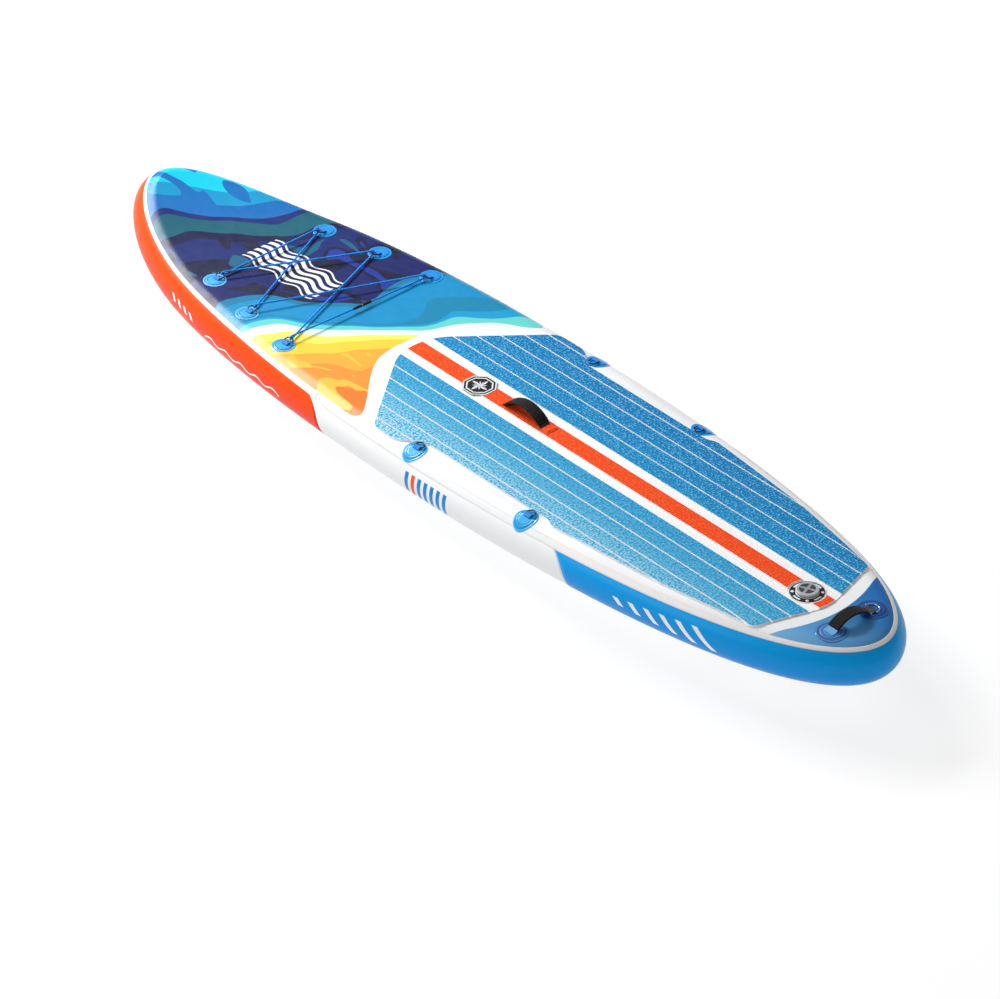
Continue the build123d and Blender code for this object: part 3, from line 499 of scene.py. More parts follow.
def stitches(
    name: str, places: Array, along: Array, up: Array, length: float = 0.0032, thick: float = 0.0007
) -> Object:
    """A row of thread stitches, each a small ellipsoid laid along the seam.

    Args:
        name: the new object's name.
        places: the middle of each stitch.
        along: the seam's direction at each stitch.
        up: the direction out of the cloth at each stitch.
        length: length of a stitch.
        thick: thickness of the thread.

    Returns:
        One object with all the stitches.
    """
    rings, spokes = 5, 8
    pitch, turn = np.meshgrid(np.linspace(0, np.pi, rings), full_turn(spokes), indexing="ij")
    girth = np.sin(pitch)
    seed = (np.cos(pitch) * length / 2, girth * np.cos(turn) * thick, girth * np.sin(turn) * thick)
    seed = np.stack(seed, -1).reshape(-1, 3)
    along, up = unit(along), unit(up)
    side = np.cross(up, along)
    frames = np.stack([along, side, up], 1)
    points = places[:, None] + seed @ frames
    quads = grid_faces(rings, spokes, wrap=True)
    faces = (quads[None] + (np.arange(len(places)) * len(seed))[:, None, None]).reshape(-1, 4)
    return close_up(make_piece(name, points.reshape(-1, 3), faces), 60)


def thicken(piece: Object, thickness: float) -> None:
    """Gives an open skin a wall that grows inwards."""
    wall = piece.modifiers.new("wall", "SOLIDIFY")
    wall.thickness = thickness
    wall.offset = -1.0


def softened(node: str, name: str, round_over: float) -> Object:
    """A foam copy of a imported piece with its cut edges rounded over.

    Args:
        node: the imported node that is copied.
        name: the copy's name.
        round_over: how wide the rounding is.

    Returns:
        The copy.
    """
    work = bmesh.new()
    work.from_mesh(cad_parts[node].data)
    bmesh.ops.remove_doubles(work, verts=work.verts, dist=2e-6)
    bmesh.ops.dissolve_limit(work, angle_limit=math.radians(0.4), verts=work.verts, edges=work.edges)
    mesh = bpy.data.meshes.new(name)
    work.to_mesh(mesh)
    work.free()
    if "custom_normal" in mesh.attributes:
        mesh.attributes.remove(mesh.attributes["custom_normal"])
    mesh.polygons.foreach_set("use_smooth", np.ones(len(mesh.polygons), bool))
    piece = place_data(name, mesh)
    edge = piece.modifiers.new("edge", "BEVEL")
    edge.width = round_over
    edge.segments = 2
    edge.limit_method = "ANGLE"
    edge.angle_limit = math.radians(40)
    edge.harden_normals = True
    return piece


def finish_piece(piece: Object, material: Material, node: str | None = None) -> Object:
    """Finishes a new piece, which rides on the board.

    Args:
        piece: the piece.
        material: its finish.
        node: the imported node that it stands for, if it does.

    Returns:
        The same piece.
    """
    piece.data.materials.clear()
    piece.data.materials.append(material)
    if node:
        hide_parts(node)
    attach(piece, "board")
    log.info("%s: %d faces", piece.name, len(piece.data.polygons))
    return piece


def dress_node(node: str, material: Material) -> None:
    """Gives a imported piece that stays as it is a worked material."""
    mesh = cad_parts[node].data
    mesh.materials.clear()
    mesh.materials.append(material)
    log.info("%s: packed piece, finish %s", node, material.name)


# ---- the hull's form
@dataclass(frozen=True)
class HullForm:
    """The board's shape: a plan outline with a rounded rail and a nose that bends up."""

    length: float = 3.350
    width: float = 0.844
    radius: float = 0.076
    mid_z: float = 0.194
    widest_x: float = -0.023
    nose_fullness: Pair = (0.170, -0.072)
    tail_fullness: Pair = (0.089, 0.090)
    rocker_start: float = 1.118
    rocker_radius: float = 1.750

    @property
    def deck_z(self) -> float:
        """Height of the flat deck."""
        return self.mid_z + self.radius

    def core(self, turn: Array) -> tuple[Array, Array]:
        """The rail's middle line and the direction out of the board.

        The outline is an ellipse in cosine and sine of the turn, its width times
        1 + a cos^2 + b cos^4, moved in square to itself by the rail's radius.

        Args:
            turn: angles from 0 at the nose, through port, to a full turn.

        Returns:
            Plan points of the middle line, and the outward directions there.
        """
        c, s = np.cos(turn), np.sin(turn)
        ahead = c >= 0
        a = np.where(ahead, self.nose_fullness[0], self.tail_fullness[0])
        b = np.where(ahead, self.nose_fullness[1], self.tail_fullness[1])
        reach = self.length / 2 + np.where(ahead, -self.widest_x, self.widest_x)
        full = 1 + a * c**2 + b * c**4
        edge = np.stack([self.widest_x + reach * c, self.width / 2 * s * full], -1)
        slope_y = self.width / 2 * (c * full - s**2 * (2 * a * c + 4 * b * c**3))
        outward = unit(np.stack([slope_y, reach * s], -1))
        return edge - outward * self.radius, outward

    def rocker(self, x: Array) -> Array:
        """How far the nose bends up at x, along one arc."""
        run = np.maximum(0.0, x - self.rocker_start)
        return self.rocker_radius - np.sqrt(self.rocker_radius**2 - run**2)

    def turn_at(self, x: Array) -> Array:
        """The port turn at which the rail's middle line passes x."""
        turns = np.linspace(0, np.pi, 3000)
        line = self.core(turns)[0][:, 0]
        return np.interp(-np.asarray(x, float), -line, turns)

    def skin(self, turn: Array, angle: Array, lift: Array | float) -> Array:
        """Points on the rail: the core line plus the radius at an angle above level.

        Args:
            turn: places along the outline.
            angle: degrees above the rail's middle.
            lift: height above the rail's surface.

        Returns:
            The points.
        """
        core, outward = self.core(turn)
        tilt = np.radians(angle)
        reach = self.radius + lift
        x, y = (core[..., k] + outward[..., k] * reach * np.cos(tilt) for k in (0, 1))
        z = self.mid_z + self.rocker(core[..., 0]) + reach * np.sin(tilt)
        return np.stack([x, y, z], -1)

    def lay(self, plan: Array, height: Array | float) -> tuple[Array, Array]:
        """Lays plan points on the deck and down over its rounded shoulder.

        A point beyond the rail's middle line by d lies at the height of a circle there,
        the square root of radius^2 - d^2, and leans out with it.

        Args:
            plan: x and y of each point.
            height: how far above the deck's surface, square to it.

        Returns:
            The points, and the direction square to the deck at each.
        """
        turns = full_turn(2400)
        core, outward = self.core(turns)
        gaps = ((plan[:, None] - core[None]) ** 2).sum(-1)
        near = gaps.argmin(1)
        beyond = ((plan - core[near]) * outward[near]).sum(1).clip(0, self.radius * 0.98)
        rise = np.sqrt(self.radius**2 - beyond**2)
        normal = np.concatenate([outward[near] * beyond[:, None], rise[:, None]], 1) / self.radius
        foot_x = np.where(beyond > 0, core[near][:, 0], plan[:, 0])
        base = np.column_stack([plan, self.mid_z + self.rocker(foot_x) + rise])
        return base + normal * np.broadcast_to(height, (len(plan),))[:, None], normal


HULL = HullForm()
INSIDE = (0.0, 0.0, HULL.mid_z)
VALVE_X = -1.342


# ---- hull finishes
@dataclass(frozen=True)
class CoatedSheet:
    """PVC coated cloth: a calm gloss over the faint weave of its backing."""

    weave_pitch: float = 0.0016
    weave_depth: float = 0.00006
    gloss: float = 0.37
    shine: float = 0.27

    def apply(self, g: Graph, colour: object) -> None:
        """Wires the coating round a colour.

        The weave is a product of two sines, and wide soft noise varies the gloss.

        Args:
            g: the material under way.
            colour: a colour code or the field that gives it.
        """
        x, y, z = g.xyz()
        weave = g.waves(x, self.weave_pitch) * g.waves(y + z, self.weave_pitch) * 0.5 + 0.5
        swell = g.noise(9.0, 1.0)
        height = swell * 6.0 + weave
        scuff = g.noise(34.0, 4.0, 0.4)
        g.coat(
            Base_Color=colour,
            Roughness=g.rise(scuff, 0.3, 0.8, self.gloss - 0.05, self.gloss + 0.08),
            Normal=g.relief(height, self.weave_depth, 0.6),
            Coat_Weight=0.10,
            Coat_Roughness=0.30,
            Specular_IOR_Level=self.shine,
        )

    def plain(self, name: str, code: str, shade: str) -> Material:
        """A sheet of one dye that drifts slightly in tone.

        Args:
            name: the material's name.
            code: its colour.
            shade: the tone it drifts towards.

        Returns:
            The material.
        """
        g = Graph(name)
        drift = g.noise(2.2, 3.0, 0.3)
        self.apply(g, g.mix(g.rise(drift, 0.35, 0.75), code, shade))
        return g.material


@dataclass(frozen=True)
class DeckPrint:
    """The print on the deck sheet: flowing ribbons ahead, white amidships, blue at the tail."""

    pad_gap: tuple[Pair, ...] = (
        (0.0, 0.420), (0.109, 0.408), (0.157, 0.384), (0.208, 0.343), (0.267, 0.285), (0.313, 0.241),
        (0.345, 0.214), (0.362, 0.205), (0.374, 0.212), (0.381, 0.235), (0.388, 0.280),
    )
    lean: float = 0.46
    tail_front: float = -1.467
    tail_bow: float = 1.3
    blur: float = 0.0008
    mark_middle: Pair = (0.968, -0.003)
    mark_half: Pair = (0.172, 0.070)
    mark_wave: float = 0.115
    mark_swing: float = 0.010
    mark_pitch: float = 0.028
    sheet: CoatedSheet = CoatedSheet()

    # tail blue from starboard to port, painted lighter to port as light falling from that side
    TAIL_TONES_LIT_TO_PORT = ((0.1, "005eb0"), (0.45, "2878ba"), (0.6, "4a8cc2"), (0.8, "5096cc"), (1.0, "74b2de"))
    RIBBONS = (
        (0.000, "ff7f2a"), (0.150, "ff9838"), (0.235, "ffb03c"), (0.300, "ffd23e"), (0.345, "ffee68"),
        (0.375, "e4f6ee"), (0.402, "66d3ce"), (0.420, "0e9cd0"), (0.429, "0e86b0"), (0.438, "0a8fc6"),
        (0.470, "0c7ca4"), (0.490, "141f64"), (0.585, "0c133e"), (0.640, "16276c"), (0.725, "0f1648"),
        (0.760, "125e72"), (0.820, "162a74"), (0.838, "0c6cb6"), (0.892, "0c98cc"), (0.948, "04cfe9"),
    )
    EDDIES = ((0.565, 0.572, "12173c"), (0.655, 0.662, "1c3798"), (0.352, 0.345, "125e80"))

    def ribbons(self, g: Graph, x: Field, y: Field) -> Field:
        """Broad waves of colour that flow across the nose.

        The ribbon's number is x less a lean times y, plus a slow sine across the board and
        two soft noises. Aft of the dark ribbons it is held back, more so to starboard, which
        widens the blue there. Its steps are read off a row of colours. Curled eddies lie in
        the dark ribbons, where a second, more swirled field passes its edge.

        Args:
            g: the material under way.
            x: distance ahead.
            y: distance to port.

        Returns:
            The print's colour.
        """
        stretched = g.join(x * 2.1, y * 3.4)
        wave = g.math("SINE", y * 10.5 + x * 2.4)
        drift = g.noise(1.0, 0.6, 0.5, at=stretched) - 0.5
        ripple = g.noise(6.0, 0.0, 0.35, at=g.join(x, y)) - 0.5
        run = x - y * self.lean + wave * 0.034 + drift * 0.24 + ripple * 0.07
        share = (run + 0.02) / 1.66
        room = (0.47 - share) * 0.75
        shift = g.math("MAXIMUM", y * -0.25 + 0.075, 0.04)
        share = share + g.math("MINIMUM", g.math("MAXIMUM", room, 0.0), shift)
        colour = g.ramp(share, self.RIBBONS, stepped=True)
        deep = g.rise(share, 0.492, 0.496) * g.rise(share, 0.755, 0.751)
        eddy = g.noise(1.7, 0.5, 1.5, at=g.join(x * 2.2, y * 3.6))
        for start, end, code in self.EDDIES:
            colour = g.mix(deep * g.rise(eddy, start, end), colour, code)
        glow = g.noise(2.4, 1.0, 1.8, at=stretched)
        tongue = g.rise(share, 0.30, 0.29) * g.rise(glow, 0.58, 0.585)
        colour = g.mix(tongue, colour, "ffc247")
        tip = g.rise(share, 0.84, 0.845) * g.rise(eddy, 0.60, 0.605)
        return g.mix(tip, colour, "1070bc")

    def wave_mark(self, g: Graph, x: Field, y: Field) -> Field:
        """Five white wave lines across the nose, within a block.

        The lines are the middle half of each pitch of y plus a sine of x.

        Args:
            g: the material under way.
            x: distance ahead.
            y: distance to port.

        Returns:
            How much of the mark covers the point, from 0 to 1.
        """
        ahead = x - self.mark_middle[0]
        level = g.waves(ahead, self.mark_wave) * self.mark_swing + (y - self.mark_middle[1])
        line = g.rise(abs(g.math("FRACT", level / self.mark_pitch) - 0.5), 0.27, 0.25)
        for off, half in zip((ahead, level), self.mark_half):
            line = line * g.rise(abs(off), half, half - 0.002)
        return line

    def build(self) -> Material:
        """Lays out the whole deck's print."""
        g = Graph("deck_print")
        x, y, _ = g.xyz()
        edge = g.curve(abs(y) * 2.0, [(2 * a, 2 * b) for a, b in self.pad_gap])
        printed = g.rise(x - edge * 0.5, -self.blur, self.blur)
        white = g.mix(g.rise(g.noise(3.0), 0.3, 0.7), "f6f7f8", "eceef0")
        colour = g.mix(printed, white, self.ribbons(g, x, y))
        colour = g.mix(self.wave_mark(g, x, y), colour, "f4f6f8")
        line = y * y * self.tail_bow + self.tail_front
        tail = g.rise(line - x, -self.blur, self.blur)
        # the tail blue is painted lighter toward port as light; the noise is random tone
        depth = g.noise(2.6, 1.0) * 0.06 + y
        colour = g.mix(tail, colour, g.ramp(depth * 2.0 + 0.5, self.TAIL_TONES_LIT_TO_PORT))
        self.sheet.apply(g, colour)
        return g.material


@dataclass(frozen=True)
class RailPaint:
    """A rail panel's finish: one dye, painted darker toward the bottom as shade, with generic marks on its
    side.
    """

    name: str
    # top tone, and low: the painted shaded tone lower on the rail
    top: str
    low: str
    marks: Sequence[Mark] = ()
    slant: float = 0.0
    line: tuple[float, float, float] | None = None
    line_code: str = "fbfbfb"
    line_pitch: float = 0.085
    line_swing: float = 4.5
    line_half: float = 2.4
    blur: float = 0.001
    blur_angle: float = 0.8
    sheet: CoatedSheet = CoatedSheet(shine=0.10)

    def span(self, g: Graph, place: Field, start: float, end: float) -> Field:
        """1 between a start and an end along the rail, with a slight blur."""
        return g.rise(place, start, start + self.blur) * g.rise(place, end, end - self.blur)

    def build(self) -> Material:
        """Wires the dye and the marks over the rail's own coordinates.

        The UV map holds metres along the rail and degrees above its middle. A mark is a bar:
        colour, start, end, low and high edge. The line is a sine about a level.

        Returns:
            The material.
        """
        g = Graph(self.name)
        u, v = g.uv()
        # painted shade: the dye darkens from the top tone down to the low tone
        colour = g.mix(g.rise(v, -50.0, 50.0), self.low, self.top)
        slant = v * -self.slant + u
        for code, start, end, low, high in self.marks:
            tall = g.rise(v, low, low + self.blur_angle) * g.rise(v, high, high - self.blur_angle)
            colour = g.mix(self.span(g, slant, start, end) * tall, colour, code)
        if self.line:
            start, end, level = self.line
            off = abs(g.waves(u, self.line_pitch) * self.line_swing + (v - level))
            near = g.rise(off, self.line_half, self.line_half - self.blur_angle / 2)
            colour = g.mix(self.span(g, u, start, end) * near, colour, self.line_code)
        self.sheet.apply(g, colour)
        return g.material


class Side(Enum):
    """A side of the board, as the sign of y."""

    PORT = 1
    STARBOARD = -1


def stripes(
    code: str, count: int, ends: Pair, step: float, edges: Pair, growth: Pair = (0.0, 0.0)
) -> list[Mark]:
    """Marks at an even step along a rail.

    Args:
        code: their colour.
        count: how many there are.
        ends: where the first one starts and ends, in metres along the rail.
        step: from one to the next.
        edges: the first one's low and high edge, in degrees above the rail's middle.
        growth: what each edge gains from one to the next.

    Returns:
        The marks in order.
    """
    (start, end), (low, high), (drop, climb) = ends, edges, growth
    return [
        (code, start + step * k, end + step * k, low + drop * k, high + climb * k) for k in range(count)
    ]


@dataclass
class HullSkins:
    """The welded skins: printed deck, bottom, four rail panels and the piping over the seam."""

    sheet_wall: float = 0.0010
    rail_wall: float = 0.0012
    rail_low: float = -66.0
    rail_lift: float = 0.0004
    nose_end: float = 0.336
    nose_flare: float = 0.012
    nose_flare_angle: float = 22.0
    tail_end: float = -0.740
    tail_flare: float = 0.0189
    tail_flare_angle: float = 32.0
    panel_gap: float = 0.0004
    piping_height: float = 0.0009
    piping_ends: Pair = (0.385, -0.652)
    valve_hole: float = 0.030

    PIPING_X = (-1.599, -1.45, -1.071, -0.70, -0.128, 0.304, 0.42, 0.80, 1.20, 1.599)
    PIPING_LOW = (50.0, 48.5, 44.0, 41.5, 37.5, 38.0, 45.0, 51.0, 55.0, 57.0)
    PIPING_HIGH = (61.0, 60.5, 60.0, 60.0, 60.0, 60.0, 60.5, 62.5, 65.0, 66.0)

    def band(self, turn: Array) -> tuple[Array, Array]:
        """The piping's lower and upper edge at each turn, in degrees above the rail's middle."""
        x = HULL.core(turn)[0][..., 0]
        return np.interp(x, self.PIPING_X, self.PIPING_LOW), np.interp(x, self.PIPING_X, self.PIPING_HIGH)

    def seam(self, turn: Array) -> Array:
        """Where the deck sheet's edge meets the rail, hidden under the piping."""
        low, high = self.band(turn)
        return (low + high) / 2

    def sheet_grid(self, turns: Array, edge: Array, up: int, tuck: float) -> tuple[Array, int]:
        """Points over a whole face of the board, rail to rail.

        Each row runs from the port edge up round the shoulder to the rail's middle line,
        straight across, and down the starboard shoulder. The edge may tuck under the rail
        panel by a smooth step of the angle.

        Args:
            turns: rows, from the nose to the tail.
            edge: how far down the shoulder the sheet reaches, in degrees, per row.
            up: 1 for the deck and -1 for the bottom.
            tuck: how far the sheet's edge dips under the rail panel.

        Returns:
            The points in rows, and how many there are in a row.
        """
        share = np.linspace(0, 1, 18)
        angle = edge[:, None] + (90 - edge[:, None]) * share
        dip = -tuck * np.clip((edge[:, None] + 8 - angle) / 4, 0, 1)
        rows = np.repeat(turns[:, None], len(share), 1)
        port = HULL.skin(rows, angle, dip)
        starboard = port[:, ::-1] * np.array([1, -1, 1])
        across = np.linspace(0, 1, 32)[1:-1, None]
        flat = port[:, -1:, :] * (1 - across) + starboard[:, :1, :] * across
        grid = np.concatenate([port, flat, starboard], 1)
        if up < 0:
            grid[..., 2] = 2 * (HULL.mid_z + HULL.rocker(HULL.core(turns)[0][:, :1])) - grid[..., 2]
        return grid.reshape(-1, 3), grid.shape[1]

    def face_sheet(self, name: str, node: str, up: int, material: Material) -> Object:
        """Builds the deck or the bottom as one sheet with its wall."""
        turns = np.linspace(0, np.pi, 330)
        edge = self.seam(turns) if up > 0 else np.full(len(turns), -self.rail_low - 5)
        points, columns = self.sheet_grid(turns, edge, up, 0.0 if up > 0 else 0.0011)
        faces = grid_faces(len(turns), columns)
        if up > 0:
            gap = np.hypot(points[:, 0] - VALVE_X, points[:, 1])
            faces = faces[(gap[faces] > self.valve_hole).all(1)]
        piece = close_up(make_piece(name, points, faces), 60, outward=False)
        face_away(piece, INSIDE)
        thicken(piece, self.sheet_wall)
        return finish_piece(piece, material, node)

    def nose_edge(self, angle: Array) -> Array:
        """Where the nose panel ends: x grows with the exponential of the angle."""
        return self.nose_end + self.nose_flare * np.exp(angle / self.nose_flare_angle)

    def tail_edge(self, angle: Array) -> Array:
        """Where the tail panel ends, by the same rule."""
        return self.tail_end + self.tail_flare * np.exp(angle / self.tail_flare_angle)

    def panel(self, run: str, columns: int, lift: float) -> Object:
        """Builds one rail panel between its two curved ends.

        A row keeps a fixed share of the way from the rail's lower edge to the seam, and its
        ends lie where the neighbouring panel's curve crosses that height.

        Args:
            run: nose, tail, port or starboard.
            columns: points along the rail.
            lift: height over the rail's radius.

        Returns:
            The panel, with metres along it and degrees above its middle as UV.
        """
        share = np.linspace(0, 1, 40)[:, None]
        way = np.linspace(0, 1, columns)[None, :]
        guess = self.rail_low + (48 - self.rail_low) * share
        front, rear = HULL.turn_at(self.nose_edge(guess)), HULL.turn_at(self.tail_edge(guess))
        gap = self.panel_gap / HULL.length
        if run == "nose":
            turn = front * (2 * way - 1)
        elif run == "tail":
            turn = rear + (2 * np.pi - 2 * rear) * way
        else:
            turn = (front + gap) + (rear - front - 2 * gap) * way
            turn = turn if run == "port" else -turn[:, ::-1]
        top = self.seam(turn) - 0.4
        angle = self.rail_low + (top - self.rail_low) * share
        points = HULL.skin(turn, angle, lift)
        x = HULL.core(turn)[0][..., 0]
        uv = np.stack([x, angle], -1).reshape(-1, 2)
        skin = make_piece(f"{run}_rail_skin", points.reshape(-1, 3), grid_faces(40, columns), uv)
        piece = close_up(skin, 60, outward=False)
        face_away(piece, INSIDE)
        thicken(piece, self.rail_wall)
        return piece

    def piping(self, name: str, turn: Array, tall: float, base: float) -> Object:
        """Builds a strip welded over the seam.

        Its section is the band's width across and a flat dome up: the height falls as
        one less the sixth power of the distance from the band's middle.

        Args:
            name: the new piece.
            turn: places along the outline.
            tall: the strip's height.
            base: height of its foot over the rail's radius.

        Returns:
            The closed strip, with metres along it and its share across as UV.
        """
        low, high = (edge[:, None] for edge in self.band(turn))
        share = np.concatenate([np.linspace(0, 1, 17), np.linspace(1, 0, 5)[1:-1]])
        angle = low + (high - low) * share
        lift = np.full(len(share), base)
        lift[:17] += tall * (1 - np.abs(2 * share[:17] - 1) ** 6)
        rows = np.repeat(turn[:, None], len(share), 1)
        points = HULL.skin(rows, angle, lift[None, :])
        ends = np.repeat(points[[0, -1]].mean(1, keepdims=True), len(share), 1)
        points = np.concatenate([ends[:1], points, ends[1:]])
        metres = np.concatenate([[0], run_lengths(points[1:-1, 0]), [0]])
        uv = np.stack([np.repeat(metres[:, None], len(share), 1), np.repeat(share[None], len(points), 0)], -1)
        return shell(name, points, 60, uv)

    def piping_finish(self, name: str, edges: str) -> Material:
        """White piping with a thin line of another dye along both edges."""
        g = Graph(name)
        _, v = g.uv()
        off = abs(v - 0.5)
        CoatedSheet(gloss=0.3).apply(g, g.mix(g.rise(off, 0.34, 0.36), "eff0f1", edges))
        return g.material

    def build(self) -> None:
        """Makes and dresses every skin."""
        self.face_sheet("deck_skin", "deck_sheet", 1, DeckPrint().build())
        bottom = CoatedSheet().plain("bottom_white", "eef0f2", "e4e7ea")
        self.face_sheet("bottom_skin", "bottom_sheet", -1, bottom)
        bars = stripes("1d86cc", 7, (-0.079, -0.063), -0.0275, (-31.0, 24.0))
        bars[1] = ("f4531c", *bars[1][1:])
        dashes = stripes("fbfbfb", 4, (1.02, 1.034), 0.034, (-2.0, 14.0), (2.0, 2.0))
        chevrons = stripes("f3f4f5", 6, (-0.94, -0.92), -0.058, (-8.0, 9.0), (-3.0, 3.0))
        # each rail's low tone is its painted shade toward the bottom
        white = RailPaint("rail_white", "f7f8f8", "dfe1e3", bars).build()
        sine = (0.54, 0.95, -6.0)
        orange = RailPaint("rail_orange", "ff5014", "e82c00", dashes, 0.0012, sine).build()
        blue = RailPaint("rail_blue", "00a2ee", "0084d4", chevrons, 0.0014).build()
        panels = (
            ("nose", 260, self.rail_lift, orange, "nose_rail_pvc"),
            ("port", 90, 0.0, white, "side_rail_pvc"),
            ("starboard", 90, 0.0, white, "side_rail_pvc"),
            ("tail", 220, self.rail_lift, blue, "tail_rail_pvc"),
        )
        for run, columns, lift, material, slot in panels:
            finish_piece(self.panel(run, columns, lift), material, f"{run}_rail")
        front, rear = (float(HULL.turn_at(x)) for x in self.piping_ends)
        plain = self.piping_finish("piping_white", "f4f5f6")
        edged = self.piping_finish("piping_edged", "f6dccb")
        faint = self.piping_finish("piping_faint", "dcdee0")
        proud, flush = (self.piping_height, self.rail_lift + 0.0001), (0.00008, 0.00006)
        runs = (
            ("nose_piping", -front, front, 260, plain, "nose_piping_pvc", proud),
            ("port_seam", front, rear, 150, faint, "side_rail_pvc", flush),
            ("starboard_seam", -rear, -front, 150, faint, "side_rail_pvc", flush),
            ("tail_piping", rear, 2 * math.pi - rear, 220, edged, "tail_piping_pvc", proud),
        )
        for name, start, end, count, material, slot, heights in runs:
            strip = self.piping(f"{name}_strip", np.linspace(start, end, count), *heights)
            finish_piece(strip, material, name if heights is proud else None)


# ---- deck pad
@dataclass(frozen=True)
class EmbossedFoam:
    """Closed cell foam pressed with a small pebble grain."""

    name: str
    # starboard, middle and port tones: the paler port side is painted light
    tones: tuple[str, str, str]
    crown_highlight: str
    crease_shade: str
    # strength of the painted highlight on the pebbles' crowns
    spark: float = 0.75
    painted_port_glare: str = "e0f2fa"
    pebble: float = 0.0070
    depth: float = 0.0006

    def build(self) -> Material:
        """Wires the grain and its tones.

        Pebbles are stretched random cells, high in their middles, with a painted highlight on
        those crowns and painted shade in the creases between them. The tone is painted lighter
        from starboard through the middle to port, as light falling from the port side, with a
        slight random drift; to port the tops of the pebbles carry a painted glare.

        Returns:
            The material.
        """
        g = Graph(self.name)
        x, y, _ = g.xyz()
        wobble = g.noise(55.0, 1.0)
        grain = g.join(wobble * 0.004 + x * 0.8, y)
        gap, draw = g.cells(grain, 1 / self.pebble, 0.8)
        height = g.rise(gap, 0.55, 0.15)
        cloud = g.noise(5.0, 2.0)
        # the y term paints the foam lighter toward port as light from that side; the cloud is random tone
        way = (cloud - 0.5) * 0.10 + y * 1.5 + 0.5
        tone = g.ramp(way, tuple(zip((0.0, 0.5, 1.0), self.tones)))
        # painted highlight: paler tops on the pebbles' crowns
        spark = g.rise(gap, 0.42, 0.18) * g.rise(draw, 0.15, 0.95, 0.12, self.spark)
        tone = g.mix(spark, tone, self.crown_highlight)
        # painted glare: pebble tops turn near white toward port
        painted_port_glare = g.rise(y, 0.16, 0.40, 0.0, 0.62) * g.rise(gap, 0.50, 0.25)
        tone = g.mix(painted_port_glare, tone, self.painted_port_glare)
        # painted shade: darker in the creases between pebbles
        tone = g.mix(g.rise(gap, 0.52, 0.72, 0.0, 0.35), tone, self.crease_shade)
        g.coat(
            Base_Color=tone,
            Roughness=0.66,
            Normal=g.relief(height, self.depth, 0.7),
            Specular_IOR_Level=0.12,
            Sheen_Weight=0.02,
            Sheen_Roughness=0.4,
        )
        return g.material


